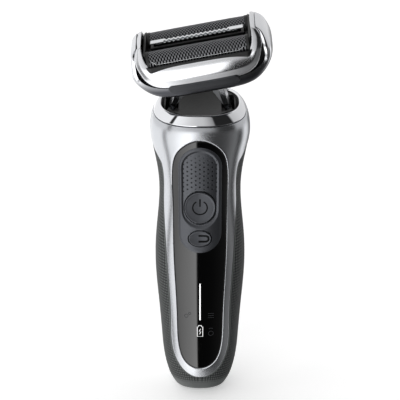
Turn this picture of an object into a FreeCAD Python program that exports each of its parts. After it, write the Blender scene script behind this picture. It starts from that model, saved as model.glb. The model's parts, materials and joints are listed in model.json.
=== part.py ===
"""A cordless foil shaver: a rubber-gripped handle, a neck that tilts and rolls, and a head with two
floating foils and a middle trimmer. Millimetres. +Z runs up the handle, +X to the right, and the front
faces -Y. The origin is the middle of the foot."""
import FreeCAD
import Part
import functools
import math
import os

V = FreeCAD.Vector

# Handle, overall.
handle_height = 126.0       # foot to the middle of the collar seam
handle_width = 40.0         # across the shoulders
handle_depth = 34.0         # front to back at the palm swell
squareness = 2.5            # exponent of the superellipse that every handle section follows
neck_tilt = 10.0            # degrees that the collar's plane leans forward

# Handle, walls and splits.
skin = 1.5                  # silver frame, gloss panel and rubber, all one skin
shell_wall = 1.6            # hard housing under the skin
fit_gap = 0.12              # between fixed covers that drop into each other
button_gap = 0.25           # round a moving button
button_proud = 0.35
split_front = -2.0          # where the silver frame ends on the side, at the drop below
split_drop = 10.0           # below the seam



def up(share):
    """A height above the foot, as a share of the handle's height."""
    return share * handle_height


# Silver frame and gloss panel, half widths at heights above the foot.
frame_edge = [(0, up(0.0706)), (4.3, up(0.0825)), (8.8, up(0.1222)), (11.2, up(0.1698)), (12.2, up(0.2905)),
              (12.7, up(0.4222)), (13.6, up(0.5365)), (14.1, up(0.6214)), (14.5, up(0.7246)),
              (14.9, up(0.8365)), (17.4, up(0.9016)), (24.0, up(0.9444))]
panel_edge = [(0, up(0.1111)), (6.1, up(0.1397)), (8.5, up(0.1889)), (9.4, up(0.304)), (9.9, up(0.4183)),
              (10.6, up(0.5619)), (10.8, up(0.7349)), (10.6, up(0.8468)), (9.3, up(0.8857)),
              (5.8, up(0.9175)), (0, up(0.9341))]

# Controls.
plate_half = 8.75
plate_low = up(0.5508)
plate_high = up(0.9135)
recess_half = 7.3
recess_low = up(0.6397)
recess_high = up(0.9016)
recess_depth = 0.4
power_height = up(0.7071)
power_half = (6.2, 6.7)     # half width and half height
lock_height = up(0.6016)
lock_half = (4.6, 3.4)
button_depth = 2.2
button_travel = 0.8
stem_radius = 1.0
bar_low = up(0.3032)
bar_high = up(0.4437)
bar_half = 0.6
symbol_height = up(0.2635)
symbol_half = (1.35, 2.9)

# Works inside the handle.
board_front = -8.1
board_thick = 1.2
board_half = 6.2
board_low = 19.0
board_drop = 16.0           # below the seam
board_high = handle_height - board_drop
chassis_half = 10.4
chassis_thick = 1.4
cell_radius = 7.0
cell_length = 50.0
cell_low = 24.0
switch_size = 5.0
switch_body = 1.4
switch_cap = 0.5
screw_radius = 1.0
boss_radius = 2.2
screw_bite = 1.6            # of the chassis screws in their bosses

# Charging socket.
socket_half = (4.6, 2.9)
socket_depth = 7.0
socket_wall = 0.9
pin_radius = 0.8
pin_root_radius = 1.0
pin_spacing = 4.6
pin_length = 4.5

# Collar and neck, heights above the seam's plane.
collar_rise = 3.6
collar_wall = 1.3
collar_spigot = 4.0
seal_width = 1.4
seal_thick = 1.2
dish_depth = 3.4
dish_wall = 1.2
pitch_drop = 4.0            # pitch axis below the seam's plane
pitch_rest = 10.0           # degrees, as stored
roll_rest = 12.0            # degrees, as stored
roll_height = 32.0          # roll axis above the pitch axis

# Yoke.
foot_x = 11.6
arm_thick = 2.2
arm_top_x = 7.3
arm_top = 18.5              # above the pitch axis
knee = 3.5
roll_limit = 13.0           # degrees to each side
arm_clearance = 0.6
arm_half_depth = 3.0
rail_outer = 12.8
rail_inner = 10.8
rail_half_angle = 30.0
carriage_half_angle = 10.0
swing_room = 3.2            # room for the arms' swing, each way, in the dish
run_gap = 0.08              # running clearance of the rail and of the tilt pins
tilt_pin_radius = 1.2

# Head, heights above the head's floor.
head_width = 54.8
head_depth = 26.4
head_half = head_width / 2
head_squareness = 3.2
roll_rise = 14.0            # roll axis above the head's floor
head_wall = 1.7
wing_top = 23.9
opening_edge = 16.1
ridge_height = 11.5
bezel_foot = 7.0
deck_low = 11.4
deck_thick = 1.0

# Shaving cassette.
bay_half = (head_half - 6.7, 11.4)
bay_corner = 2.6
cassette_gap = 0.28
cassette_high = 16.6
foil_half_length = bay_half[0] - 2.4
foil_pitch = 6.5            # foil centre to trimmer centre
foil_half_depth = 3.4
foil_sheet = 0.3
foil_edge = 15.8
foil_crest = 20.7
float_gap = 0.15
drive_stroke = 1.0
foil_travel = 1.4
cutter_foot = 14.1
drive_bite = 0.8            # how far a drive pin stands in its blade block
release_half = head_half - 13.7
release_low = 4.3
release_high = 8.1


# ---------------------------------------------------------------- helpers
def block(x0, x1, y0, y1, z0, z1):
    return Part.makeBox(x1 - x0, y1 - y0, z1 - z0, V(x0, y0, z0))


def rod(radius, start, end):
    axis = end - start
    return Part.makeCylinder(radius, axis.Length, start, axis)


def wire_of(runs):
    """A closed wire from runs of points: two points make a line, more make a smooth curve."""
    edges = []
    for run in runs:
        if len(run) == 2:
            edges.append(Part.LineSegment(run[0], run[1]).toShape())
        else:
            curve = Part.BSplineCurve()
            curve.interpolate(run)
            edges.append(curve.toShape())
    return Part.Wire(edges)


def closed(corners):
    """The straight runs of a polygon."""
    return [[a, b] for a, b in zip(corners, corners[1:] + corners[:1])]


def prism(runs, push):
    """Extrudes the outline made of runs of points along push."""
    return Part.Face(wire_of(runs)).extrude(push)


def mirrored(points):
    """The left half of a right-hand outline, in the order that carries on round it."""
    return [V(-p.x, p.y, p.z) for p in reversed(points)]


def front_prism(half_edge, y0=-40.0, y1=30.0, grow=0.0):
    """A symmetrical outline seen from the front, from (x, z) points bottom to top."""
    middle = (half_edge[0][1] + half_edge[-1][1]) / 2
    right = [V(x + (grow if x else 0), y0, z + math.copysign(grow, z - middle) * (x < 6))
             for x, z in half_edge]
    runs = [right]
    if right[-1].x:
        runs.append([right[-1], V(-right[-1].x, y0, right[-1].z)])
    runs.append(mirrored(right))
    return prism(runs, V(0, y1 - y0, 0))


def pill(half, low, high, grow=0.0, y0=-40.0, y1=0.0):
    """A stadium seen from the front, as deep as y0 to y1."""
    radius = half + grow
    low_mid = low + half
    high_mid = high - half
    shape = block(-radius, radius, y0, y1, low_mid, high_mid)
    for z in (low_mid, high_mid):
        shape = shape.fuse(rod(radius, V(0, y0, z), V(0, y1, z)))
    return shape.removeSplitter()


def oval(half, height, grow=0.0, y0=-40.0, y1=0.0):
    """An ellipse seen from the front, as deep as y0 to y1."""
    a, b = half[0] + grow, half[1] + grow
    major, minor = max(a, b), min(a, b)
    centre = V(0, y0, height)
    tip = V(0, 0, major) if b >= a else V(major, 0, 0)
    side = V(minor, 0, 0) if b >= a else V(0, 0, minor)
    edge = Part.Ellipse(centre + tip, centre + side, centre).toShape()
    return Part.Face(Part.Wire(edge)).extrude(V(0, y1 - y0, 0))


def rounded_box(half_x, half_y, z0, z1, corner):
    shape = block(-half_x, half_x, -half_y, half_y, z0, z1)
    uprights = [e for e in shape.Edges if abs(e.Vertexes[0].Z - e.Vertexes[-1].Z) > 1e-6]
    return shape.makeFillet(corner, uprights)


def placed(shape, placement):
    moved = shape.copy()
    moved.Placement = placement.multiply(moved.Placement)
    return moved


def grouped(shapes):
    return Part.makeCompound(shapes)


# ---------------------------------------------------------------- frames
def turn(axis, degrees):
    return FreeCAD.Placement(V(0, 0, 0), FreeCAD.Rotation(axis, degrees))


def shift(x, y, z):
    return FreeCAD.Placement(V(x, y, z), FreeCAD.Rotation())


NECK = shift(0, 0, handle_height).multiply(turn(V(1, 0, 0), neck_tilt))
YOKE = NECK.multiply(shift(0, 0, -pitch_drop)).multiply(turn(V(1, 0, 0), pitch_rest))
HEAD = YOKE.multiply(shift(0, 0, roll_height)).multiply(turn(V(0, -1, 0), roll_rest))
HEAD = HEAD.multiply(shift(0, 0, -roll_rise))


# ---------------------------------------------------------------- handle form
# Shares of height, half width, front depth and back depth, and of the neck's tilt.
STATIONS = [
    (0.000, 0.375, 0.180, 0.180, 0.0), (0.0095, 0.500, 0.230, 0.232, 0.0), (0.024, 0.580, 0.271, 0.280, 0.0),
    (0.048, 0.655, 0.315, 0.330, 0.0), (0.080, 0.720, 0.350, 0.374, 0.0), (0.127, 0.780, 0.382, 0.421, 0.0),
    (0.206, 0.825, 0.412, 0.471, 0.0), (0.333, 0.880, 0.435, 0.518, 0.0), (0.460, 0.935, 0.447, 0.550, 0.0),
    (0.571, 0.920, 0.447, 0.535, 0.0), (0.667, 0.860, 0.441, 0.497, 0.0), (0.746, 0.835, 0.441, 0.476, 0.0),
    (0.825, 0.880, 0.456, 0.471, 0.1), (0.889, 0.955, 0.479, 0.479, 0.3), (0.944, 1.000, 0.497, 0.490, 0.7),
    (0.976, 0.978, 0.500, 0.490, 0.9), (1.000, 0.925, 0.486, 0.479, 1.0), (1.0285, 0.795, 0.415, 0.407, 1.0),
    (1.045, 0.690, 0.355, 0.350, 1.0)]
SECTION_POINTS = 24


def section(height, half_width, front, back, tilt):
    """One closed section of the handle: a superellipse, tilted forward about its middle."""
    points = []
    power = 2.0 / squareness
    for i in range(SECTION_POINTS):
        angle = 2 * math.pi * i / SECTION_POINTS
        c, s = math.cos(angle), math.sin(angle)
        x = half_width * math.copysign(abs(c) ** power, c)
        y = (back if s > 0 else front) * math.copysign(abs(s) ** power, s)
        points.append(V(x, y, 0))
    curve = Part.BSplineCurve()
    curve.interpolate(points, True)
    frame = shift(0, 0, height).multiply(turn(V(1, 0, 0), tilt))
    return Part.Wire(placed(curve.toShape(), frame).Edges)


def between(height):
    """Width, depths and tilt at a height, straight between the stations."""
    for low, high in zip(STATIONS, STATIONS[1:]):
        if height <= high[0] * handle_height:
            part = (height / handle_height - low[0]) / (high[0] - low[0])
            return [a + part * (b - a) for a, b in zip(low[1:], high[1:])]
    return list(STATIONS[-1][1:])


@functools.lru_cache(maxsize=None)
def handle_form(inset):
    """The handle's outer form, with its surface moved in by inset."""
    rows = [(h * handle_height, w, f, b, t) for h, w, f, b, t in STATIONS]
    if inset > 0:
        rows = [r for r in rows if r[0] > inset * 1.6]
        rows.insert(0, [inset] + between(inset * 1.35))
    wires = []
    for height, wide, front, back, tilt in rows:
        wires.append(section(height, wide * handle_width / 2 - inset, front * handle_depth - inset,
                             back * handle_depth - inset, tilt * neck_tilt))
    return Part.makeLoft(wires, True, False)


def slab(low, high, half=60.0):
    """A slab square to the neck, from low to high above the seam's plane."""
    return placed(block(-half, half, -half, half, low, high), NECK)


OUTER = handle_form(0.0)
UNDER_SKIN = handle_form(skin)
CAVITY = handle_form(skin + shell_wall)
BELOW_SEAM = slab(-200.0, 0.0)


def frame_region():
    """Everything that the silver frame's outline covers, seen from the front."""
    low_edge = front_prism(frame_edge)
    high_edge = block(-frame_edge[-1][0], frame_edge[-1][0], -40, 30, frame_edge[-1][1], handle_height + 12)
    reach = 60.0
    split = handle_height - split_drop
    side = [V(-40, split_front - reach, split - reach), V(-40, split_front + 20, split + 20),
            V(-40, split_front - reach, split + 20)]
    front_half = prism(closed(side), V(80, 0, 0))
    low_half = block(-40, 40, -60, 0, -20, frame_edge[-2][1])
    return low_edge.fuse(high_edge).common(front_half.fuse(low_half))


def shell(outer, inner):
    return outer.cut(inner)


# ---------------------------------------------------------------- handle covers
def handle_covers():
    region = frame_region()
    coat = shell(OUTER, UNDER_SKIN).common(BELOW_SEAM)
    panel_hole = front_prism(panel_edge, grow=fit_gap, y1=0.0)
    plate_hole = pill(plate_half, plate_low, plate_high, grow=fit_gap)
    socket_hole = block(-socket_half[0], socket_half[0], -socket_half[1], socket_half[1], -1, 12)
    frame = coat.common(region).cut(panel_hole)
    panel = coat.common(front_prism(panel_edge, y1=0.0)).cut(plate_hole)
    panel = panel.cut(light_slot(0.0)).cut(symbol_slot(0.0))
    grip = coat.cut(region).cut(socket_hole)
    buttons_hole = oval(power_half, power_height, button_gap).fuse(oval(lock_half, lock_height, button_gap))
    plate = handle_form(-0.25).cut(UNDER_SKIN).common(pill(plate_half, plate_low, plate_high))
    recess = pill(recess_half, recess_low, recess_high).cut(handle_form(recess_depth))
    plate = plate.cut(recess).cut(buttons_hole)
    return {"front_frame": frame, "front_panel": panel, "rubber_grip": grip, "switch_plate": plate}


def light_slot(grow):
    return block(-bar_half - grow, bar_half + grow, -40, 0, bar_low - grow, bar_high + grow)


def symbol_slot(grow):
    wide, tall = symbol_half[0] + grow, symbol_half[1] + grow
    return block(-wide, wide, -40, 0, symbol_height - tall, symbol_height + tall)


def housing():
    tube = shell(UNDER_SKIN, CAVITY).common(slab(-200.0, -collar_spigot))
    windows = oval(power_half, power_height, button_gap).fuse(oval(lock_half, lock_height, button_gap))
    windows = windows.fuse(light_slot(0.3)).fuse(symbol_slot(0.3))
    socket = block(-socket_half[0] - socket_wall, socket_half[0] + socket_wall,
                   -socket_half[1] - socket_wall, socket_half[1] + socket_wall, -1, 12)
    tube = tube.cut(windows).cut(socket)
    front = tube.common(block(-60, 60, -60, -0.05, -10, 160))
    rear = tube.common(block(-60, 60, 0.05, 60, -10, 160))
    bosses = []
    for x, z in chassis_screw_places():
        bosses.append(rod(boss_radius, V(x, -30, z), V(x, board_front + board_thick, z)))
    bosses = grouped(bosses).common(handle_form(skin + 0.4))
    pilots = grouped([rod(screw_radius, V(x, board_front - screw_bite, z), V(x, 0, z))
                      for x, z in chassis_screw_places()])
    front = front.fuse(bosses).cut(pilots)
    return {"housing_front": front, "housing_rear": rear}


def controls():
    parts = {}
    for name, half, height in (("power_button", power_half, power_height),
                               ("head_lock_button", lock_half, lock_height)):
        cap = handle_form(-button_proud).cut(handle_form(button_depth)).common(oval(half, height))
        stem_end = board_front - switch_body - switch_cap - button_travel - 0.1
        stem = rod(stem_radius, V(0, -30, height), V(0, stem_end, height))
        stem = stem.common(handle_form(button_depth - 0.5))
        parts[name] = cap.fuse(stem)
    return parts


def switches():
    parts = {}
    for name, height in (("power_switch", power_height), ("lock_switch", lock_height)):
        half = switch_size / 2
        body = block(-half, half, board_front - switch_body, board_front, height - half, height + half)
        cap = rod(1.4, V(0, board_front - switch_body - switch_cap, height),
                  V(0, board_front - switch_body, height))
        parts[name] = body.fuse(cap)
    return parts


def lights():
    coat = shell(OUTER, UNDER_SKIN)
    reach = board_front - 0.2
    guide = block(-bar_half - 0.2, bar_half + 0.2, -40, reach, bar_low - 0.2, bar_high + 0.2)
    guide = guide.fuse(block(-symbol_half[0], symbol_half[0], -40, reach, symbol_height - symbol_half[1],
                             symbol_height + symbol_half[1]))
    joiner = block(-bar_half - 0.2, bar_half + 0.2, reach - 1.2, reach, symbol_height, bar_high)
    guide = guide.common(UNDER_SKIN).fuse(joiner)
    return {"level_bar": coat.common(light_slot(0.0)), "battery_symbol": coat.common(symbol_slot(0.0)),
            "light_guide": guide}


# ---------------------------------------------------------------- works in the handle
def chassis_screw_places():
    side = chassis_half - boss_radius + 0.4
    return [(x, z) for z in (board_low + 3.0, board_high - 3.0) for x in (-side, side)]


def works():
    board_back = board_front + board_thick
    plate_back = board_back + chassis_thick
    cell_y = plate_back + cell_radius + 1.0
    cell_high = cell_low + cell_length
    holes = grouped([rod(screw_radius, V(x, -20, z), V(x, 0, z)) for x, z in chassis_screw_places()])
    plate = block(-chassis_half, chassis_half, board_back, plate_back, board_low, board_high)
    saddles = []
    for z in (cell_low + 8.0, cell_high - 10.0):
        saddles.append(block(-8.5, 8.5, plate_back - 0.2, cell_y - 1.0, z, z + 2.5))
    cell = rod(cell_radius, V(0, cell_y, cell_low), V(0, cell_y, cell_high))
    chassis = plate.fuse(saddles).cut(rod(cell_radius, V(0, cell_y, 0), V(0, cell_y, 120))).cut(holes)
    board = block(-board_half, board_half, board_front, board_back, board_low, board_high)
    board = board.cut(holes)
    tabs = []
    for z, way in ((cell_low, -1), (cell_high, 1)):
        disc = rod(5.0, V(0, cell_y, z), V(0, cell_y, z + way * 0.3))
        strip = block(-2.0, 2.0, plate_back, cell_y, min(z, z + way * 0.3), max(z, z + way * 0.3))
        tabs.append(disc.fuse(strip))
    screws = []
    for x, z in chassis_screw_places():
        shank = rod(screw_radius, V(x, board_front - screw_bite, z), V(x, plate_back, z))
        head = rod(screw_radius * 1.8, V(x, plate_back, z), V(x, plate_back + 1.0, z))
        screws.append(shank.fuse(head))
    return {"chassis": chassis, "battery_cell": cell, "circuit_board": board, "battery_tabs": grouped(tabs),
            "chassis_screws": grouped(screws)}


def charging():
    wide, deep = socket_half
    cup = block(-wide - socket_wall, wide + socket_wall, -deep - socket_wall, deep + socket_wall,
                skin, socket_depth + socket_wall)
    cup = cup.cut(block(-wide, wide, -deep, deep, -1, socket_depth))
    pins = []
    for x in (-pin_spacing / 2, pin_spacing / 2):
        root = rod(pin_root_radius, V(x, 0, socket_depth), V(x, 0, socket_depth + 3.0))
        pins.append(rod(pin_radius, V(x, 0, socket_depth - pin_length), V(x, 0, socket_depth)).fuse(root))
    cup = cup.cut(grouped(pins))
    gasket = block(-wide - 1.7, wide + 1.7, -deep - 1.7, deep + 1.7,
                   skin + shell_wall, skin + shell_wall + 0.8)
    gasket = gasket.cut(block(-wide - socket_wall, wide + socket_wall, -deep - socket_wall,
                              deep + socket_wall, 0, 20)).common(handle_form(skin + shell_wall + 0.05))
    return {"charge_socket": cup, "charge_pins": grouped(pins), "socket_gasket": gasket}


# ---------------------------------------------------------------- collar and neck
def collar():
    ring = shell(OUTER, handle_form(collar_wall)).common(slab(0.0, collar_rise))
    ledge = shell(handle_form(collar_wall / 2), CAVITY).common(slab(0.0, 0.8))
    spigot = shell(UNDER_SKIN, CAVITY).common(slab(-collar_spigot, 0.8))
    ring = ring.fuse(ledge).fuse(spigot)
    seal_low = collar_rise - 0.6 - seal_thick
    seal = shell(handle_form(collar_wall), handle_form(collar_wall + seal_width))
    seal = seal.common(slab(seal_low, seal_low + seal_thick))
    return {"collar_ring": ring, "neck_seal": seal}


def neck():
    """The dish is a bowl between two spheres, slotted where the arms come out."""
    edge = handle_width / 2 * 0.80 - collar_wall - seal_width
    rim = collar_rise - 0.9
    ball = (edge ** 2 + dish_depth ** 2) / (2 * dish_depth)
    centre = V(0, 0, rim - dish_depth + ball)
    bowl = Part.makeSphere(ball + dish_wall, centre).cut(Part.makeSphere(ball, centre))
    inside = placed(handle_form(collar_wall + seal_width), NECK.inverse())
    bowl = bowl.common(inside).common(block(-40, 40, -40, 40, -20, rim))
    inner = foot_x - arm_thick / 2 - 2.0
    outer = foot_x + arm_thick / 2 + 0.9
    for side in (-1, 1):
        bowl = bowl.cut(block(min(side * inner, side * outer), max(side * inner, side * outer),
                              -arm_half_depth - swing_room, arm_half_depth + swing_room, -20, 20))
    under = rim - dish_depth - dish_wall
    foot = rod(4.0, V(0, 0, under - 0.1), V(0, 0, under + 0.6))
    bowl = bowl.fuse(foot)
    bearing_half = foot_x - arm_thick / 2 - 0.3
    block_top = under - 0.1
    bearing = block(-bearing_half, bearing_half, -4.0, 4.0, -pitch_drop - 4.2, block_top)
    shelf = placed(handle_form(skin + shell_wall), NECK.inverse())
    shelf = shelf.common(block(-40, 40, -40, 40, -pitch_drop - 5.4, -pitch_drop - 4.0))
    bore = rod(tilt_pin_radius + run_gap, V(-20, 0, -pitch_drop), V(20, 0, -pitch_drop))
    plate = shelf.fuse(bearing).cut(bore)
    return {"neck_dish": placed(bowl, NECK), "neck_plate": placed(plate, NECK)}


# ---------------------------------------------------------------- yoke
def rail_sector(inner, outer, half_angle, half_depth):
    """A curved bar centred on the roll axis, hanging below it."""
    ring = Part.makeCylinder(outer, 2 * half_depth, V(0, -half_depth, 0), V(0, 1, 0))
    ring = ring.cut(Part.makeCylinder(inner, 2 * half_depth, V(0, -half_depth, 0), V(0, 1, 0)))
    reach = 40.0
    spread = reach * math.tan(math.radians(half_angle))
    corners = [V(0, -half_depth, 0), V(spread, -half_depth, -reach), V(-spread, -half_depth, -reach)]
    wedge = prism(closed(corners), V(0, 2 * half_depth, 0))
    return ring.common(wedge)


def yoke():
    rail = rail_sector(rail_inner, rail_outer, rail_half_angle, arm_half_depth)
    rail.translate(V(0, 0, roll_height))
    parts = {"arc_rail": placed(rail, YOKE)}
    half = arm_thick / 2
    inside_rail = rod(rail_inner, V(0, -20, roll_height), V(0, 20, roll_height))
    web_top = arm_top - 3.1
    webs = []
    pins = []
    for name, side in (("neck_arm_left", -1), ("neck_arm_right", 1)):
        outline = [(foot_x + half, 0), (foot_x + half, knee), (arm_top_x + half, arm_top),
                   (arm_top_x + 0.4, arm_top + 2.9), (arm_top_x - half - 0.2, arm_top + 3.9),
                   (arm_top_x - half, arm_top), (foot_x - half, knee), (foot_x - half, 0)]
        corners = [V(side * x, -arm_half_depth, z) for x, z in outline]
        arm = prism(closed(corners), V(0, 2 * arm_half_depth, 0))
        eye = rod(2.4, V(side * (foot_x - half), 0, 0), V(side * (foot_x + half), 0, 0))
        sides = block(-20, 20, -2.4, 2.4, -1, knee).fuse(block(-20, 20, -arm_half_depth, arm_half_depth,
                                                               knee, 30))
        bore = rod(tilt_pin_radius, V(-20, 0, 0), V(20, 0, 0))
        arm = arm.common(sides).fuse(eye).cut(bore).cut(rail).cut(inside_rail)
        parts[name] = placed(arm, YOKE)
        pins.append(rod(tilt_pin_radius, V(side * (foot_x - half - 5.0), 0, 0),
                        V(side * (foot_x + half + 0.8), 0, 0)))
        web = [V(side * (foot_x - half - 0.9), -1.0, knee + 2.6),
               V(side * (arm_top_x - half + 0.9), -1.0, web_top),
               V(side * (arm_top_x - half - 2.6), -1.0, web_top)]
        webs.append(prism(closed(web), V(0, 2.0, 0)).cut(arm))
    parts["tilt_pins"] = placed(grouped(pins), YOKE)
    parts["arm_webs"] = placed(grouped(webs), YOKE)
    return parts


# ---------------------------------------------------------------- head form
def offset_curve(points, inset):
    """Points of an (u, v) curve moved to its left-hand side by inset."""
    moved = []
    for i, (u, v) in enumerate(points):
        before = points[max(i - 1, 0)]
        after = points[min(i + 1, len(points) - 1)]
        du, dv = after[0] - before[0], after[1] - before[1]
        size = math.hypot(du, dv)
        moved.append((u - dv / size * inset, v + du / size * inset))
    return moved


def head_side_curve():
    """The head's right-hand edge seen from the front: from the floor round to the wing's top."""
    half = head_half
    return [(half - 14.9, 0.0), (half - 9.4, 0.9), (half - 4.9, 3.6), (half - 1.7, 7.4), (half, 11.8),
            (half - 0.2, 15.8), (half - 1.4, 19.6), (half - 3.4, 22.6), (half - 5.9, wing_top)]


@functools.lru_cache(maxsize=None)
def head_form(inset, closed_top=True):
    """The head's outer form as the meeting of its front, side and top outlines, moved in by inset."""
    curve = offset_curve(head_side_curve(), inset)
    curve[0] = (head_side_curve()[0][0], inset)
    right = [V(x, -40, z) for x, z in curve]
    if closed_top:
        ear = bay_half[0] - 0.9
        smile = [V(ear, -40, 19.6), V(ear - 0.4, -40, 17.7), V(ear - 1.4, -40, opening_edge + 0.35),
                 V(ear - 3.2, -40, opening_edge)]
        steps = [[V(-right[0].x, -40, right[0].z), right[0]], right,
                 [right[-1], V(ear, -40, wing_top - 0.5)],
                 [V(ear, -40, wing_top - 0.5), smile[0]], smile,
                 [smile[-1], V(-smile[-1].x, -40, smile[-1].z)], mirrored(smile),
                 [V(-ear, -40, smile[0].z), V(-ear, -40, wing_top - 0.5)],
                 [V(-ear, -40, wing_top - 0.5), V(-right[-1].x, -40, right[-1].z)], mirrored(right)]
    else:
        steps = [[V(-right[0].x, -40, right[0].z), right[0]], right,
                 [right[-1], V(-right[-1].x, -40, right[-1].z)], mirrored(right)]
    front = prism(steps, V(0, 80, 0))
    deep = head_depth / 2
    side = [(deep - 4.2, 0), (deep - 1.9, 3.0), (deep - 0.5, bezel_foot), (deep, ridge_height),
            (deep - 0.9, opening_edge), (deep - 3.6, 21.0), (deep - 6.0, wing_top + 0.4)]
    side = [(y - inset, z) for y, z in side]
    side[0] = (side[0][0], inset)
    ring = [V(-40, y, z) for y, z in side] + [V(-40, -y, z) for y, z in reversed(side)]
    profile = prism(closed(ring), V(80, 0, 0))
    plan = []
    power = 2.0 / head_squareness
    for i in range(32):
        angle = 2 * math.pi * i / 32
        c, s = math.cos(angle), math.sin(angle)
        plan.append(V((head_half + 0.2 - inset) * math.copysign(abs(c) ** power, c),
                      (deep - inset) * math.copysign(abs(s) ** power, s), -5))
    loop = Part.BSplineCurve()
    loop.interpolate(plan, True)
    top = Part.Face(Part.Wire(loop.toShape())).extrude(V(0, 0, 60))
    return front.common(profile).common(top)


def bezel_region():
    """The bezel seen from the front: its foot, its rounded lower corners and its ears."""
    points = [(13.4, bezel_foot), (10.2, 7.6), (7.6, 9.3), (5.8, 12.2), (5.0, 15.6), (4.8, 19.0), (5.0, 24.6)]
    right = [V(head_half - x, -40, z) for x, z in points]
    return prism([[V(-right[0].x, -40, right[0].z), right[0]], right,
                  [right[-1], V(-right[-1].x, -40, right[-1].z)], mirrored(right)], V(0, 80, 0))


def crescents():
    """The dark gaps between the bezel's lower corners and the outer band."""
    shapes = []
    for side in (-1, 1):
        rim = [(7.4, 8.6), (5.0, 9.4), (3.4, 12.0), (3.1, 15.2), (4.0, 18.4), (5.8, 20.6)]
        outer = [(head_half - x, z) for x, z in rim]
        chord = [V(side * outer[-1][0], -40, outer[-1][1]), V(side * outer[0][0], -40, outer[0][1])]
        shape = prism([[V(side * x, -40, z) for x, z in outer], chord], V(0, 80, 0))
        shapes.append(shape.cut(block(-40, 40, -6.0, 6.0, 0, 40)))
    return shapes


def release_window(grow):
    low, high = release_low - grow, release_high + grow
    half = release_half + grow
    shape = block(-half, half, -40, 0, low, high)
    long_edges = [e for e in shape.Edges if abs(e.Vertexes[0].Y - e.Vertexes[-1].Y) > 1e-6]
    return shape.makeFillet(1.4, long_edges)


def arm_reach_at_floor():
    """How far out an arm's outer face stands at the head's floor, with the head rolled to its limit."""
    angle = math.radians(roll_limit)
    turned = []
    for x, z in ((foot_x, knee), (arm_top_x, arm_top)):
        x, z = x + arm_thick / 2, z - roll_height
        turned.append((x * math.cos(angle) - z * math.sin(angle), z * math.cos(angle) + x * math.sin(angle)))
    (low_x, low_z), (high_x, high_z) = turned
    return low_x + (high_x - low_x) * (-roll_rise - low_z) / (high_z - low_z)


def head_shells():
    form = head_form(0.0)
    hollow = head_form(head_wall, closed_top=False).common(block(-60, 60, -60, 60, 0, deck_low + deck_thick))
    bay = rounded_box(bay_half[0], bay_half[1], deck_low + deck_thick, 60, bay_corner)
    window = release_window(button_gap)
    windows = window.fuse(window.mirror(V(0, 0, 0), V(0, 1, 0)))
    sweep = arm_reach_at_floor() + arm_clearance
    neck_hole = block(-sweep, sweep, -arm_half_depth - 1.9, arm_half_depth + 1.9, -5, 5)
    base = form.cut(bezel_region().fuse(crescents())).cut(hollow).cut(bay).cut(windows).cut(neck_hole)
    for x, y in head_screw_places():
        base = base.fuse(rod(1.7, V(x, y, head_wall - 0.6), V(x, y, 7.6)))
    for x, y in head_screw_places():
        base = base.cut(rod(0.8, V(x, y, 2.4), V(x, y, 20)))
    bezel = form.common(bezel_region()).cut(hollow).cut(bay).cut(windows)
    deck = head_form(head_wall, closed_top=False).common(
        block(-60, 60, -60, 60, deck_low, deck_low + deck_thick))
    for way in (-1, 1):
        deck = deck.cut(block(-drive_stroke - 1.5, drive_stroke + 1.5, way * foil_pitch - 1.5,
                              way * foil_pitch + 1.5, 0, 40))
    strip = head_form(-0.4, closed_top=False).cut(head_form(head_wall + 0.1, closed_top=False))
    strip = strip.common(release_window(0.0))
    return {"head_band": base, "head_bezel": bezel, "head_deck": deck, "front_release": strip,
            "rear_release": strip.mirror(V(0, 0, 0), V(0, 1, 0))}


def head_screw_places():
    side = head_half - 10.8
    return [(x, y) for x in (-side, side) for y in (-5.6, 5.6)]


def head_works():
    flange_low = 7.6
    core = rail_sector(0.5, rail_outer + run_gap + 1.0, carriage_half_angle, arm_half_depth + 1.2)
    channel = rail_sector(rail_inner - run_gap, rail_outer + run_gap, 60.0, arm_half_depth + run_gap)
    core.translate(V(0, 0, roll_rise))
    channel.translate(V(0, 0, roll_rise))
    core = core.common(block(-20, 20, -20, 20, -5, flange_low + 0.5)).cut(channel)
    flange_half = head_half - 9.0
    flange = block(-flange_half, flange_half, -8.6, 8.6, flange_low, flange_low + 1.0)
    holes = grouped([rod(0.8, V(x, y, 0), V(x, y, 20)) for x, y in head_screw_places()])
    carriage = core.fuse(flange).cut(holes)
    screws = []
    for x, y in head_screw_places():
        screws.append(rod(0.8, V(x, y, 3.0), V(x, y, flange_low + 1.0)).fuse(
            rod(1.4, V(x, y, flange_low + 1.0), V(x, y, flange_low + 1.6))))
    coil = head_half - 14.1
    coils = [block(x, x + 3.6, -3.6, 3.6, 3.4, flange_low) for x in (-coil - 3.6, coil)]
    stator_half = head_half - 13.9
    stator = block(-stator_half, stator_half, -8.4, 8.4, flange_low + 1.0, flange_low + 1.8)
    parts = {"roll_carriage": carriage, "head_screws": grouped(screws), "motor_coils": grouped(coils),
             "motor_core": stator}
    for name, way in (("front_drive", -1), ("rear_drive", 1)):
        low, high = sorted((way * 0.6, way * 8.2))
        bar = block(-12.0, 12.0, low, high, flange_low + 2.0, flange_low + 3.2)
        pin = rod(1.1, V(0, way * foil_pitch, flange_low + 3.0), V(0, way * foil_pitch, cutter_foot + drive_bite))
        parts[name] = bar.fuse(pin)
    return parts


# ---------------------------------------------------------------- shaving cassette
def arch(half_depth, low, crest, half_length, centre_y, inset=0.0):
    """A bar with an elliptical top: flat at low, highest at crest."""
    a, b = half_depth - inset, crest - foil_edge - inset
    middle = V(-half_length, centre_y, foil_edge)
    top = Part.Ellipse(middle + V(0, 0, b), middle + V(0, a, 0), middle) if b > a else \
        Part.Ellipse(middle + V(0, a, 0), middle + V(0, 0, b), middle)
    bar = Part.Face(Part.Wire(top.toShape())).extrude(V(2 * half_length, 0, 0))
    bar = bar.common(block(-60, 60, -60, 60, foil_edge, 60))
    if low < foil_edge:
        bar = bar.fuse(block(-half_length, half_length, centre_y - a, centre_y + a, low, foil_edge))
    return bar


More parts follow.
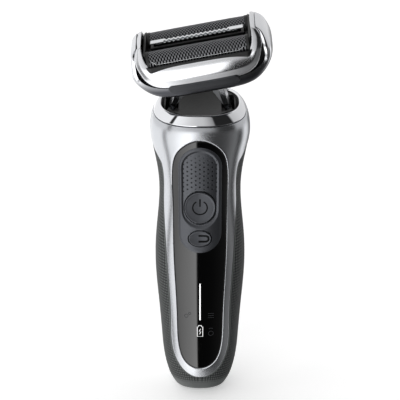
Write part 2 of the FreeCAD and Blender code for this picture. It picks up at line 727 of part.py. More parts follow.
def foil_unit(way):
    """One foil, its black carrier and the blade block under it."""
    y = way * foil_pitch
    sheet = arch(foil_half_depth, foil_edge, foil_crest, foil_half_length, y)
    sheet = sheet.cut(arch(foil_half_depth, foil_edge - 1.0, foil_crest, 30.0, y, foil_sheet))
    cap_end = foil_half_length + 1.1
    carrier = block(-cap_end, cap_end, y - foil_half_depth - 0.15, y + foil_half_depth + 0.15,
                    14.6, foil_edge)
    caps = arch(foil_half_depth + 0.15, foil_edge, foil_crest + 0.1, cap_end, y)
    carrier = carrier.fuse(caps).cut(block(-foil_half_length, foil_half_length, -60, 60, foil_edge, 60))
    carrier = carrier.cut(block(-foil_half_length + 0.3, foil_half_length - 0.3, y - foil_half_depth + 0.3,
                                y + foil_half_depth - 0.3, 0, 30))
    cutter_half = foil_half_length - 2.7
    solid = arch(foil_half_depth - 0.3, cutter_foot, foil_crest, cutter_half, y, foil_sheet + 0.25)
    gaps = []
    pitch = 1.5
    count = 2 * int(cutter_half / pitch)
    for i in range(count):
        x = (i - (count - 1) / 2) * pitch
        gaps.append(block(x - 0.45, x + 0.45, y - 5, y + 5, 16.9, 40))
    cutter = solid.cut(grouped(gaps))
    pin_room = cutter_foot + drive_bite + foil_travel + 0.1
    cutter = cutter.cut(rod(1.1 + run_gap, V(0, y, 0), V(0, y, pin_room)))
    return sheet, carrier, cutter


def trimmer():
    half_length = foil_half_length - 0.5
    body = block(-half_length, half_length, -1.85, 1.85, 14.6, 19.3)
    body = body.cut(block(-half_length + 1.0, half_length - 1.0, -1.0, 1.0, 15.6, 30))
    top = 20.9
    guard = block(-half_length, half_length, -1.35, 1.35, 19.3, top)
    guard = guard.cut(block(-half_length + 0.8, half_length - 0.8, -1.0, 1.0, 0, top - 0.4))
    notches = []
    pitch = 1.75
    count = 2 * int((half_length - 5.0) / pitch)
    for i in range(count):
        x = (i - (count - 1) / 2) * pitch
        notches.append(block(x - 0.45, x + 0.45, -3, -0.35, 20.1, 30))
        notches.append(block(x + pitch / 2 - 0.45, x + pitch / 2 + 0.45, 0.35, 3, 20.1, 30))
    guard = guard.cut(grouped(notches))
    blade_half = half_length - 2.2
    blade = block(-blade_half, blade_half, -0.9, 0.9, 19.9, top - 0.5)
    teeth = []
    for i in range(count):
        x = (i - (count - 1) / 2) * pitch
        teeth.append(block(x - 0.4, x + 0.4, -3, -0.4, 0, 30))
        teeth.append(block(x + pitch / 2 - 0.4, x + pitch / 2 + 0.4, 0.4, 3, 0, 30))
    blade = blade.cut(grouped(teeth))
    return body, guard, blade


def cassette():
    half_x = bay_half[0] - cassette_gap
    half_y = bay_half[1] - cassette_gap
    low = deck_low + deck_thick + 0.2
    frame = rounded_box(half_x, half_y, low, cassette_high, bay_corner - cassette_gap)
    cheek = rounded_box(half_x, 8.6, low, 20.6, 2.0)
    cheek = cheek.cut(block(-foil_half_length - 1.1 - float_gap, foil_half_length + 1.1 + float_gap,
                            -30, 30, cassette_high, 60))
    frame = frame.fuse(cheek)
    pocket_x = foil_half_length + 1.1 + float_gap
    pocket_y = foil_half_depth + 0.15 + float_gap
    for way in (-1, 1):
        y = way * foil_pitch
        frame = frame.cut(block(-pocket_x, pocket_x, y - pocket_y, y + pocket_y, 0, 60))
    frame = frame.cut(block(-foil_half_length + 0.5 - float_gap, foil_half_length - 0.5 + float_gap,
                            -1.85 - float_gap, 1.85 + float_gap, 0, 60))
    body, guard, blade = trimmer()
    parts = {"cassette_frame": frame, "trimmer_body": body, "trimmer_guard": guard, "trimmer_blade": blade}
    for name, way in (("front", -1), ("rear", 1)):
        sheet, carrier, cutter = foil_unit(way)
        parts[name + "_foil"] = sheet
        parts[name + "_foil_carrier"] = carrier
        parts[name + "_blade_block"] = cutter
    return parts


# ---------------------------------------------------------------- write the pieces
def main():
    os.makedirs("parts", exist_ok=True)
    nodes = {}
    for made in (handle_covers(), housing(), controls(), switches(), lights(), works(), charging(),
                 collar(), neck(), yoke()):
        nodes.update(made)
    for made in (head_shells(), head_works(), cassette()):
        nodes.update({name: placed(shape, HEAD) for name, shape in made.items()})
    for name, shape in nodes.items():
        solids = shape.Solids
        if not solids or not shape.isValid():
            print("CHECK", name, "solids", len(solids), "valid", shape.isValid())
        if len(solids) == 1:
            shape = solids[0]
        shape.exportStep(os.path.join("parts", name + ".step"))
    print(len(nodes), "nodes")


main()
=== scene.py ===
import json
import math
import bpy
import bmesh
import numpy as np
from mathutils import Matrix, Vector

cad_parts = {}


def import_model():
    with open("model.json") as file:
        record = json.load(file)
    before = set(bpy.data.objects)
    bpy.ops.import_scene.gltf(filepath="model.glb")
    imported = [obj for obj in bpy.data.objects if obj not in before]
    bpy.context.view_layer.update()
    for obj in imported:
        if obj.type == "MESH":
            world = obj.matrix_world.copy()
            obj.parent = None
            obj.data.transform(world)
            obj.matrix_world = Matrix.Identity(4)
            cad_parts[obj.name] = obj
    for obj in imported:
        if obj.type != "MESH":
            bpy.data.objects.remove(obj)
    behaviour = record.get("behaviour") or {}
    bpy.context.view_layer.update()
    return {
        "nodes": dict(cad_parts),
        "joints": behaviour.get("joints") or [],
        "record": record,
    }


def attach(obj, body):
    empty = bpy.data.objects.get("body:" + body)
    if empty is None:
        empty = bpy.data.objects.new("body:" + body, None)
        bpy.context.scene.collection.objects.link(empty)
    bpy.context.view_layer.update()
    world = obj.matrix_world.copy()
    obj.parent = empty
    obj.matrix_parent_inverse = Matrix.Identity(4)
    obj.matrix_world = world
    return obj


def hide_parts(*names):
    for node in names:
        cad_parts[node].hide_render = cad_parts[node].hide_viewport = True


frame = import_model()
MM = 0.001

# Handle, millimetres. The same form as the frame's skin: shares of height, half width, front and back
# depth, and of the neck's tilt.
HANDLE_HEIGHT = 126.0
HANDLE_HALF_WIDTH = 20.0
HANDLE_DEPTH = 34.0
SQUARENESS = 2.5
NECK_TILT = 10.0
FORM_TOP = 131.6
STATIONS = np.array([
    (0.000, 0.375, 0.180, 0.180, 0.0), (0.0095, 0.500, 0.230, 0.232, 0.0), (0.024, 0.580, 0.271, 0.280, 0.0),
    (0.048, 0.655, 0.315, 0.330, 0.0), (0.080, 0.720, 0.350, 0.374, 0.0), (0.127, 0.780, 0.382, 0.421, 0.0),
    (0.206, 0.825, 0.412, 0.471, 0.0), (0.333, 0.880, 0.435, 0.518, 0.0), (0.460, 0.935, 0.447, 0.550, 0.0),
    (0.571, 0.920, 0.447, 0.535, 0.0), (0.667, 0.860, 0.441, 0.497, 0.0), (0.746, 0.835, 0.441, 0.476, 0.0),
    (0.825, 0.880, 0.456, 0.471, 0.1), (0.889, 0.955, 0.479, 0.479, 0.3), (0.944, 1.000, 0.497, 0.490, 0.7),
    (0.976, 0.978, 0.500, 0.490, 0.9), (1.000, 0.925, 0.486, 0.479, 1.0), (1.0285, 0.795, 0.415, 0.407, 1.0),
    (1.045, 0.690, 0.355, 0.350, 1.0)])
FRAME_EDGE = [(0, 8.9), (4.3, 10.4), (8.8, 15.4), (11.2, 21.4), (12.2, 36.6), (12.7, 53.2), (13.6, 67.6),
              (14.1, 78.3), (14.5, 91.3), (14.9, 105.4), (17.4, 113.6)]
PANEL_EDGE = [(0, 14.0), (6.1, 17.6), (8.5, 23.8), (9.4, 38.3), (9.9, 52.7), (10.6, 70.8), (10.8, 92.6),
              (10.6, 106.7), (9.3, 111.6), (5.8, 115.6), (0, 117.7)]
SIDE_LINE = 118.0           # the silver ends on the side where y = z - SIDE_LINE
EDGE_SCALE = np.array([0.07, 1.0])      # radians and millimetres on one scale
EDGE_POINTS = 140           # round half of the panel's opening
EDGE_SPLIT = 112.5          # above this the silver runs from the panel to the collar
PANEL_SUNK = 0.05
PLATE = (8.75, 69.4, 115.1)             # half width, foot and top
RECESS = (7.3, 80.6, 113.6)
PLATE_PROUD = 0.22
RECESS_DEEP = 0.42
KEY_WELL = 1.2              # depth of the plate under each key
POWER = (0.0, 89.1, 6.2, 6.7)           # middle across and up, half width, half height
LOCK = (0.0, 75.8, 4.6, 3.4)
LEVEL_BAR = (38.5, 55.6, 0.25)          # foot, top, half width
BATTERY = (33.2, 1.35, 2.9)             # middle, half width, half height
STROKE_DEEP = 0.08          # how far a printed stroke reaches into the face
SEAM_GAP = 0.12
KNURL_COUNT = 88            # pips round the grip
KNURL_PITCH = 1.30
KNURL_DEEP = 0.2


# --- curves and meshes
def spline(at, values):
    """A natural cubic spline through values at the places at, as a function."""
    at, values = np.asarray(at, float), np.asarray(values, float)
    n, gap = len(at), np.diff(at)
    matrix, right = np.eye(n), np.zeros(n)
    for i in range(1, n - 1):
        matrix[i, i - 1:i + 2] = gap[i - 1], 2 * (gap[i - 1] + gap[i]), gap[i]
        right[i] = 6 * ((values[i + 1] - values[i]) / gap[i] - (values[i] - values[i - 1]) / gap[i - 1])
    bend = np.linalg.solve(matrix, right)

    def value(t):
        i = np.clip(np.searchsorted(at, t) - 1, 0, n - 2)
        a, b = at[i + 1] - t, t - at[i]
        g = gap[i]
        return ((bend[i] * a ** 3 + bend[i + 1] * b ** 3) / (6 * g)
                + (values[i] / g - bend[i] * g / 6) * a + (values[i + 1] / g - bend[i + 1] * g / 6) * b)
    return value


def curve_points(points, count):
    """count points evenly along the smooth curve through points."""
    points = np.asarray(points, float)
    along = np.concatenate([[0], np.cumsum(np.linalg.norm(np.diff(points, axis=0), axis=1))])
    fine = np.linspace(0, along[-1], 40 * len(points))
    smooth = np.stack([spline(along, points[:, k])(fine) for k in range(points.shape[1])], 1)
    run = np.concatenate([[0], np.cumsum(np.linalg.norm(np.diff(smooth, axis=0), axis=1))])
    wanted = np.linspace(0, run[-1], count)
    return np.stack([np.interp(wanted, run, smooth[:, k]) for k in range(points.shape[1])], 1)


def half_outline(points, count):
    """The right half of a symmetrical outline that crosses the middle level at both ends."""
    points = np.asarray(points, float)
    flip = np.array([-1, 1])
    whole = np.concatenate([points[2:0:-1] * flip, points, points[-2:-4:-1] * flip])
    smooth = curve_points(whole, 60 * len(whole))
    inside = smooth[smooth[:, 0] >= 0]
    run = np.concatenate([[0], np.cumsum(np.linalg.norm(np.diff(inside, axis=0), axis=1))])
    wanted = np.linspace(0, run[-1], count)
    made = np.stack([np.interp(wanted, run, inside[:, k]) for k in (0, 1)], 1)
    made[[0, -1], 0] = 0
    return made


def by_index(points, count):
    """Points along the curve through points, as many between each pair."""
    points = np.asarray(points, float)
    place = np.arange(len(points))
    wanted = np.linspace(0, len(points) - 1, count)
    return np.stack([spline(place, points[:, k])(wanted) for k in range(points.shape[1])], 1)


def grid_faces(rows, columns, wrap_columns=False, wrap_rows=False):
    faces = []
    for r in range(rows if wrap_rows else rows - 1):
        for c in range(columns if wrap_columns else columns - 1):
            r2, c2 = (r + 1) % rows, (c + 1) % columns
            faces.append((r * columns + c, r * columns + c2, r2 * columns + c2, r2 * columns + c))
    return faces


def make_piece(name, points, faces, material, body, replaced=(), crease=40.0, marks=None):
    """A smooth-shaded piece from points in millimetres, riding on a body. marks, painted shade for the grip's
    hollows, go to the attribute pit.
    """
    mesh = bpy.data.meshes.new(name)
    mesh.from_pydata((np.asarray(points, float).reshape(-1, 3) * MM).tolist(), [], faces)
    # Painted shade: a point attribute that darkens the colour of the grip's hollows.
    if marks is not None:
        mesh.attributes.new("painted_pit_shade", "FLOAT", "POINT").data.foreach_set("value", marks.astype(np.float32))
    work = bmesh.new()
    work.from_mesh(mesh)
    bmesh.ops.remove_doubles(work, verts=work.verts, dist=2e-6)
    bmesh.ops.dissolve_degenerate(work, edges=work.edges, dist=1e-6)
    bmesh.ops.recalc_face_normals(work, faces=work.faces)
    work.to_mesh(mesh)
    work.free()
    mesh.polygons.foreach_set("use_smooth", [True] * len(mesh.polygons))
    mesh.set_sharp_from_angle(angle=math.radians(crease))
    mesh.materials.append(material)
    piece = bpy.data.objects.new(name, mesh)
    bpy.context.scene.collection.objects.link(piece)
    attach(piece, body)
    if replaced:
        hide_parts(*replaced)
    return piece


def grid_piece(name, rows, material, body, replaced=(), crease=40.0, wrap_columns=True, wrap_rows=False,
               marks=None):
    rows = np.asarray(rows, float)
    faces = grid_faces(rows.shape[0], rows.shape[1], wrap_columns, wrap_rows)
    return make_piece(name, rows, faces, material, body, replaced, crease, marks)


# --- handle form
SHARES = [spline(STATIONS[:, 0], STATIONS[:, k]) for k in range(1, 5)]


def power_of(value, exponent):
    return np.sign(value) * np.abs(value) ** exponent


def form(angle, height):
    """The handle's outer form: angle 0 is the right, 90 degrees the front."""
    angle, height = np.broadcast_arrays(np.asarray(angle, float), np.asarray(height, float))
    share = np.clip(height / HANDLE_HEIGHT, 0, STATIONS[-1, 0])
    wide, front, back, tilt = (curve(share) for curve in SHARES)
    s = np.sin(angle)
    x = wide * HANDLE_HALF_WIDTH * power_of(np.cos(angle), 2 / SQUARENESS)
    y = -np.where(s > 0, front, back) * HANDLE_DEPTH * power_of(s, 2 / SQUARENESS)
    lean = np.radians(NECK_TILT) * np.clip(tilt, 0, 1)
    return np.stack([x, y * np.cos(lean), height + y * np.sin(lean)], -1)


def skin(angle, height, inset=0.0):
    """A point of the handle's form, moved in by inset along the surface's normal."""
    angle, height = np.broadcast_arrays(np.asarray(angle, float), np.asarray(height, float))
    low, high = np.clip(height - 0.05, 0, None), np.clip(height + 0.05, None, FORM_TOP)
    normal = np.cross(form(angle, high) - form(angle, low),
                      form(angle + 1e-3, height) - form(angle - 1e-3, height))
    normal /= np.linalg.norm(normal, axis=-1, keepdims=True)
    return form(angle, height) - normal * np.broadcast_to(inset, angle.shape)[..., None]


def front_place(x, z):
    """Angle and height on the form of the front point seen at x, z."""
    x, z = np.asarray(x, float), np.asarray(z, float)
    height = z.copy()
    for _ in range(12):
        share = np.clip(height / HANDLE_HEIGHT, 0, STATIONS[-1, 0])
        wide = SHARES[0](share) * HANDLE_HALF_WIDTH
        ratio = np.clip(np.abs(x) / wide, 0, 0.9999)
        y = -SHARES[1](share) * HANDLE_DEPTH * (1 - ratio ** SQUARENESS) ** (1 / SQUARENESS)
        height = z - y * np.sin(np.radians(NECK_TILT) * np.clip(SHARES[3](share), 0, 1))
    angle = np.arccos(np.sign(x) * ratio ** (SQUARENESS / 2))
    return angle, height


def front_skin(x, z, inset=0.0):
    angle, height = front_place(x, z)
    return skin(angle, height, inset)


def side_angle(height):
    """The angle where the silver's slanted side line crosses the form at this height."""
    tries = np.radians(np.linspace(60, -60, 600))
    spots = form(tries, np.full(600, height))
    beyond = spots[:, 1] - (spots[:, 2] - SIDE_LINE)
    return tries[np.argmax(beyond > 0)]


def outer_edge():
    """The silver frame's outer edge on the right, foot to seam, as angles and heights."""
    low = np.asarray(FRAME_EDGE[2:0:-1], float) * np.array([-1, 1])
    points = curve_points(np.concatenate([low, FRAME_EDGE]), 90)
    points = points[points[:, 0] > 0.02]
    points = np.concatenate([[(0.0, FRAME_EDGE[0][1])], points])
    angle, height = front_place(points[:, 0], points[:, 1])
    line = np.linspace(117.5, HANDLE_HEIGHT, 8)
    angle = np.concatenate([angle, [side_angle(h) for h in line]])
    height = np.concatenate([height, line])
    return curve_points(np.stack([angle / EDGE_SCALE[0], height], 1), 150) * EDGE_SCALE


OUTER_EDGE = outer_edge()


def edge_angle(height):
    return np.interp(height, OUTER_EDGE[:, 1], OUTER_EDGE[:, 0], left=np.pi / 2)


LIP = [(0.0, 1.4), (0.0, 0.34), (0.04, 0.2), (0.14, 0.07), (0.34, 0.0)]     # (in from the edge, below)


def silver_frame(material):
    """The satin frame: a band from the panel's opening to the grip and the collar, with rolled edges."""
    inner = half_outline(PANEL_EDGE, EDGE_POINTS)
    inner[:, 0] += SEAM_GAP * (inner[:, 0] > 0.5)
    split = int(np.argmin(np.abs(inner[:, 1] - EDGE_SPLIT)))
    inner_angle, inner_height = front_place(inner[:, 0], inner[:, 1])
    outer = curve_points(OUTER_EDGE / EDGE_SCALE, split + 1) * EDGE_SCALE
    outer[:, 1] -= SEAM_GAP * np.clip((outer[:, 1] - 120) / 6, 0, 1)
    rest = EDGE_POINTS - split
    top = np.stack([np.linspace(outer[-1, 0], np.pi / 2, rest), np.full(rest, outer[-1, 1])], 1)[1:]
    outer_angle = np.concatenate([outer[:, 0], top[:, 0]])
    outer_height = np.concatenate([outer[:, 1], top[:, 1]])
    inner_angle, outer_angle = (np.concatenate([a, np.pi - a[-2:0:-1]]) for a in (inner_angle, outer_angle))
    inner_height, outer_height = (np.concatenate([h, h[-2:0:-1]]) for h in (inner_height, outer_height))
    wide = np.linalg.norm(form(inner_angle, inner_height) - form(outer_angle, outer_height), axis=1)
    rows = []
    shares = [(away / wide, below) for away, below in LIP]
    shares += [(0.36 / wide + (1 - 0.72 / wide) * t, 0.0) for t in np.linspace(0, 1, 30)[1:-1]]
    shares += [(1 - away / wide, below) for away, below in reversed(LIP)]
    for share, below in shares:
        rows.append(skin(inner_angle + (outer_angle - inner_angle) * share,
                         inner_height + (outer_height - inner_height) * share, below))
    grid_piece("frame_silver", rows, material, "handle", ["front_frame"], wrap_rows=True)


def island(name, edge, spine, below, material, body, replaced, depth=1.3, fine=26, count=90):
    """A front cover inside the closed outline edge(count): rays run from the spine out to it."""
    outline = edge(count)
    core = spine(outline)
    wide = np.linalg.norm(outline - core, axis=1)
    rows = []
    for t in np.linspace(0, 1, fine):
        share = t * (1 - 0.36 / wide)
        at = core + (outline - core) * share[:, None]
        rows.append(front_skin(at[:, 0], at[:, 1], below(at[:, 0], at[:, 1])))
    for away, down in reversed(LIP):
        at = core + (outline - core) * (1 - away / wide)[:, None]
        under = depth if down > 1 else down + below(at[:, 0], at[:, 1])
        rows.append(front_skin(at[:, 0], at[:, 1], under))
    rows.append(front_skin(core[:, 0], core[:, 1], depth))
    grid_piece(name, rows, material, body, replaced)


def mirrored_loop(half):
    return np.concatenate([half, half[-2:0:-1] * np.array([-1, 1])])


def pill_distance(x, z, pill):
    half, low, high = pill
    up = np.clip(z, low + half, high - half)
    return half - np.hypot(x, z - up)


def rise(value, low, high):
    t = np.clip((value - low) / (high - low), 0, 1)
    return t * t * (3 - 2 * t)


def gloss_panel(material):
    def edge(count):
        return mirrored_loop(half_outline(PANEL_EDGE, count))

    def spine(outline):
        return np.stack([outline[:, 0] * 0, np.clip(outline[:, 1], 24, 107)], 1)

    def below(x, z):
        """Flush, sunk under the plate, and deeper under its keys."""
        inside = pill_distance(x, z, PLATE)
        return PANEL_SUNK + 0.6 * rise(inside, 0.8, 1.6) + 1.5 * rise(inside, 2.2, 3.4)
    island("panel_gloss", edge, spine, below, material, "handle", ["front_panel"],
           fine=44, count=300)


def pill_edge(pill):
    def edge(count):
        half, low, high = pill
        turn = np.linspace(-np.pi / 2, np.pi / 2, count)
        straight = np.where(turn > 0, high - half, low + half)
        arc = np.stack([half * np.cos(turn), straight + half * np.sin(turn)], 1)
        middle = np.stack([np.full(60, half), np.linspace(low + half, high - half, 62)[1:-1]], 1)
        return mirrored_loop(np.concatenate([arc[turn <= 0], middle, arc[turn > 0]]))
    return edge


def pill_spine(pill):
    def spine(outline):
        half, low, high = pill
        return np.stack([outline[:, 0] * 0, np.clip(outline[:, 1], low + half, high - half)], 1)
    return spine


def oval_edge(oval):
    def edge(count):
        turn = np.linspace(0, 2 * np.pi, count, endpoint=False)
        return np.stack([oval[0] + oval[2] * np.cos(turn), oval[1] + oval[3] * np.sin(turn)], 1)
    return edge


def oval_spine(oval):
    def spine(outline):
        return np.stack([outline[:, 0] * 0 + oval[0], outline[:, 1] * 0 + oval[1]], 1)
    return spine


def oval_reach(x, z, oval):
    return np.hypot((x - oval[0]) / oval[2], (z - oval[1]) / oval[3])


def plate_below(x, z):
    """The plate's face: a chamfered rim, then the thumb recess, with wells for the two keys."""
    rim = -PLATE_PROUD * rise(pill_distance(x, z, PLATE), 0.0, 1.2)
    dip = RECESS_DEEP * rise(pill_distance(x, z, RECESS), -0.15, 0.75)
    keys = KEY_WELL * (oval_reach(x, z, POWER) < 1.04) + KEY_WELL * (oval_reach(x, z, LOCK) < 1.05)
    return rim + dip + keys


def switch_plate(material):
    island("plate_switch", pill_edge(PLATE), pill_spine(PLATE), plate_below, material, "handle",
           ["switch_plate"], fine=60, count=60, depth=1.45)


def power_below(x, z):
    """A dished key with a rounded rim."""
    reach = np.clip(oval_reach(x, z, POWER), 0, 1)
    return -0.30 + 0.62 * (1 - reach ** 2) - 0.05 * rise(reach, 0.85, 0.95)


def lock_below(x, z):
    reach = np.clip(oval_reach(x, z, LOCK), 0, 1)
    return -0.30 + 0.35 * (1 - reach ** 2)


def strip_faces(count, loop=False):
    """Faces of a strip with four corners to a row: closed on itself, or capped at both ends."""
    caps = [] if loop else [(3, 2, 1, 0), tuple(4 * (count - 1) + k for k in range(4))]
    return grid_faces(count, 4, True, loop) + caps


def inlays(name, strokes, below, lift, material, body, replaced=()):
    """Thin strips that follow the face. A stroke is (points seen from the front, half width, closed)."""
    points, faces = [], []
    for line, half, loop in strokes:
        line = np.asarray(line, float)
        if loop:
            ahead, behind = np.roll(line, -1, 0), np.roll(line, 1, 0)
        else:
            ahead = np.concatenate([line[1:], [2 * line[-1] - line[-2]]])
            behind = np.concatenate([[2 * line[0] - line[1]], line[:-1]])
        way = ahead - behind
        way /= np.linalg.norm(way, axis=1, keepdims=True)
        side = np.stack([-way[:, 1], way[:, 0]], 1) * half
        ring = []
        for offset, up in ((-side, -STROKE_DEEP), (-side, lift), (side, lift), (side, -STROKE_DEEP)):
            at = line + offset
            ring.append(front_skin(at[:, 0], at[:, 1], below(at[:, 0], at[:, 1]) - up))
        ring = np.stack(ring, 1)
        first = len(points)
        points.extend(ring.reshape(-1, 3))
        faces += [tuple(first + k for k in face) for face in strip_faces(len(line), loop)]
    make_piece(name, points, faces, material, body, replaced)


def arc_line(x, z, radius, start, end, count=24):
    turn = np.radians(np.linspace(start, end, count))
    return np.stack([x + radius * np.cos(turn), z + radius * np.sin(turn)], 1)


def level_line(left, right, z, count):
    """A level stroke between two places across the front."""
    return np.stack([np.linspace(left, right, count), np.full(count, z)], 1)


def upright_line(x, low, high, count):
    """An upright stroke between two heights."""
    return np.stack([np.full(count, x), np.linspace(low, high, count)], 1)


def panel_below(x, z):
    return PANEL_SUNK + 0 * x


def symbols(dark, lit, dim):
    """The power mark, the lock key's mark, the lit battery and the unlit lamps."""
    px, pz = POWER[0], POWER[1]
    power = [(arc_line(px, pz, 2.9, 60, -240, 40), 0.27, False),
             (upright_line(px, pz + 0.4, pz + 3.7, 8), 0.3, False)]
    inlays("power_mark", power, power_below, 0.03, dark, "power_button")
    bars = [(level_line(-0.6, 2.2, LOCK[1] + up, 8), 0.42, False) for up in (1.25, -1.25)]
    bars.append((arc_line(2.2, LOCK[1], 1.25, -90, 90, 14), 0.42, False))
    inlays("lock_mark", bars, lock_below, 0.03, dark, "lock_button")
    mid, half, tall = BATTERY
    low, high = mid - tall + 0.25, mid + tall - 0.85
    wide = half - 0.2
    case = [(-wide, low), (wide, low), (wide, high), (0.75, high), (0.6, high + 0.62), (-0.6, high + 0.62),
            (-0.75, high), (-wide, high)]
    bolt = [(0.25, mid + 1.05), (-0.4, mid - 0.25), (0.4, mid - 0.35), (-0.2, mid - 1.6)]
    level = upright_line(0.0, LEVEL_BAR[0], LEVEL_BAR[1], 24)
    inlays("level_lamp", [(level, LEVEL_BAR[2], False)], panel_below, 0.03, lit, "handle",
           ["level_bar"])
    inlays("battery_lamp", [(case, 0.11, True), (bolt, 0.1, False)], panel_below, 0.03, lit, "handle",
           ["battery_symbol"])
    lamps = [(arc_line(4.55, 32.0, 1.05, 0, 345, 26), True), (arc_line(4.55, 33.4, 1.1, 40, 140, 10), False)]
    lamps += [(level_line(3.3, 5.8, z, 6), False) for z in (41.6, 40.6, 39.6)]
    lamps += [(arc_line(-5.7, 40.4, 0.75, 0, 345, 18), True), (arc_line(-4.3, 41.6, 0.5, 0, 345, 14), True)]
    lamps = [(line, 0.1, loop) for line, loop in lamps]
    inlays("unlit_lamps", lamps, panel_below, 0.015, dim, "handle")


def rubber_grip(material):
    """The knurled rubber: from the foot up to the seam, round the back between the silver's two edges."""
    steps = 4 * KNURL_COUNT
    heights = np.concatenate([[0.0, 0.12, 0.3, 0.6], np.arange(1.0, HANDLE_HEIGHT - 0.35, KNURL_PITCH / 4),
                              [HANDLE_HEIGHT - 0.3, HANDLE_HEIGHT - 0.16, HANDLE_HEIGHT - 0.12]])
    whole = np.pi / 2 - np.arange(steps + 1) * 2 * np.pi / steps
    rows = []
    painted_pit_shades = []
    for height in heights:
        beside = height > FRAME_EDGE[0][1]      # beside the silver, not below it
        edge = float(edge_angle(height)) - (0.012 if beside else 0.0)
        angle = np.clip(whole, -np.pi - edge, edge)
        turn = angle * KNURL_COUNT
        pip = np.cos(turn / 2) * np.cos(np.pi * height / KNURL_PITCH)
        fade = rise(height, 3.0, 9.0) * rise(HANDLE_HEIGHT - height, 1.0, 5.0)
        near = np.minimum(edge - angle, angle + np.pi + edge) * 15.0
        fade = fade * (rise(near, 0.1, 1.2) if beside else 1.0)
        sunk = 0.06 + KNURL_DEEP * (1 - np.abs(pip)) * fade
        sunk = sunk + 0.25 * (1 - rise(near, 0.0, 0.35)) * beside
        sunk = sunk + 0.35 * rise(height, HANDLE_HEIGHT - 0.32, HANDLE_HEIGHT - 0.1)
        rows.append(skin(angle, height, sunk))
        # Painted shade: how far each point lies in a hollow between the pips, which darkens the rubber's
        # colour.
        painted_pit_shades.append((1 - np.abs(pip)) * fade)
    socket = []
    for half, z in (((5.2, 3.5), 0.0), ((4.75, 3.05), 0.1), ((4.7, 3.0), 0.5), ((4.7, 3.0), 2.6)):
        x, y = half[0] * power_of(np.cos(whole), 0.3), -half[1] * power_of(np.sin(whole), 0.3)
        socket.append(np.stack([x, y, np.full(len(x), z)], 1))
    rows = socket[::-1] + rows
    rows.append(skin(np.clip(whole, -np.pi - edge, edge), HANDLE_HEIGHT - 0.12, 1.4))
    painted_pit_shades = [np.zeros(steps + 1)] * len(socket) + painted_pit_shades + [np.zeros(steps + 1)]
    grid_piece("grip_rubber", rows, material, "handle", ["rubber_grip"], crease=60,
               wrap_columns=False, marks=np.concatenate(painted_pit_shades))


def collar(chrome, rubber):
    """The mirror ring that closes the handle, with its bright inner bevel, and the seal inside it."""
    turn = np.linspace(0, 2 * np.pi, 240, endpoint=False)
    profile = [(0.10, 1.4), (0.10, 0.3), (0.16, 0.12), (0.3, 0.02)]
    profile += [(h, 0.0) for h in np.linspace(0.5, 3.05, 12)]
    profile += [(3.25, 0.03), (3.42, 0.12), (3.52, 0.3), (3.56, 0.5), (3.45, 1.25), (3.3, 1.42), (2.4, 1.45),
                (2.2, 1.4)]
    rows = [skin(turn, HANDLE_HEIGHT + h, i) for h, i in profile]
    grid_piece("ring_collar", rows, chrome, "handle", ["collar_ring"], wrap_rows=True)
    profile = [(2.0, 1.5), (2.9, 1.5), (3.08, 1.65), (3.12, 1.95), (3.0, 2.7), (2.8, 2.95), (2.0, 2.95)]
    rows = [skin(turn, HANDLE_HEIGHT + h, i) for h, i in profile]
    grid_piece("seal_neck", rows, rubber, "handle", ["neck_seal"], wrap_rows=True)


# --- head form
def joint(name):
    return next(j for j in frame["joints"] if j["name"] == name)


ROLL_REST = math.radians(12.0)
ROLL_RISE = 14.0            # roll axis above the head's floor
roll_axis = np.array(joint("head_roll")["axis"], float)
HEAD_Y = -roll_axis / np.linalg.norm(roll_axis)
yoke_up = np.cross([1.0, 0.0, 0.0], HEAD_Y)
HEAD_X = np.array([1.0, 0.0, 0.0]) * math.cos(ROLL_REST) + yoke_up * math.sin(ROLL_REST)
HEAD_Z = np.cross(HEAD_X, HEAD_Y)
HEAD_FLOOR = np.array(joint("head_roll")["pos_m"], float) / MM - ROLL_RISE * HEAD_Z
HEAD_SQUARENESS = 3.2
HEAD_SIDE = [(12.5, 0.0), (18.0, 0.9), (22.5, 3.6), (25.7, 7.4), (27.4, 11.8), (27.2, 15.8), (26.0, 19.6),
             (24.0, 22.6), (21.5, 23.9)]
HEAD_DEEP = [(9.0, 0.0), (11.3, 3.0), (12.7, 7.0), (13.2, 11.5), (12.3, 16.1), (9.6, 21.0), (7.2, 24.3)]
# From the middle of the front up to the right wing's top, point for point.
OPENING = [(0, 16.1), (6, 16.1), (12, 16.1), (16.6, 16.15), (18.9, 16.9), (20.1, 18.4), (20.6, 20.2),
           (20.75, 21.8), (20.75, 23.0)]
BEZEL = [(0, 7.0), (6, 7.0), (12.5, 7.0), (17.6, 7.8), (20.9, 10.3), (22.8, 14.0), (24.0, 17.6), (23.7, 20.2),
         (22.6, 22.3)]
BAND = [(0, 6.8), (6, 6.8), (12.5, 6.8), (17.7, 7.4), (22.3, 9.2), (24.35, 12.8), (24.15, 17.4), (23.8, 20.2),
        (22.7, 22.3)]
FLOOR_EDGE = [(0, 0), (6.5, 0), (13.0, 0.05), (19.5, 1.5), (24.6, 5.9), (27.25, 11.2), (27.0, 16.4),
              (25.2, 20.9), (22.6, 23.2)]
HEAD_COUNT = 61             # points along each half outline
WALL_START = 1.55           # below the form, where the wall of the opening starts
RELEASE = (13.7, 4.3, 8.1)              # half length, foot and top
RELEASE_OUT = 13.15         # the furthest a release stands out from the middle
NECK_SLOT = (13.6, 4.9)                 # half length, half depth


def head_place(x, y, z):
    x, y, z = np.broadcast_arrays(*(np.asarray(v, float) for v in (x, y, z)))
    return HEAD_FLOOR + x[..., None] * HEAD_X + y[..., None] * HEAD_Y + z[..., None] * HEAD_Z


def head_depth(x, z):
    """Half the head's depth at a point of its front outline."""
    side, deep = np.array(HEAD_SIDE), np.array(HEAD_DEEP)
    wide = np.interp(z, side[:, 1], side[:, 0])
    full = spline(deep[:, 1], deep[:, 0])(np.clip(z, 0, 24.3))
    return full * (1 - np.clip(np.abs(x) / np.maximum(wide, 12.5) * 0.985, 0, 0.97) ** HEAD_SQUARENESS) ** (
        1 / HEAD_SQUARENESS)


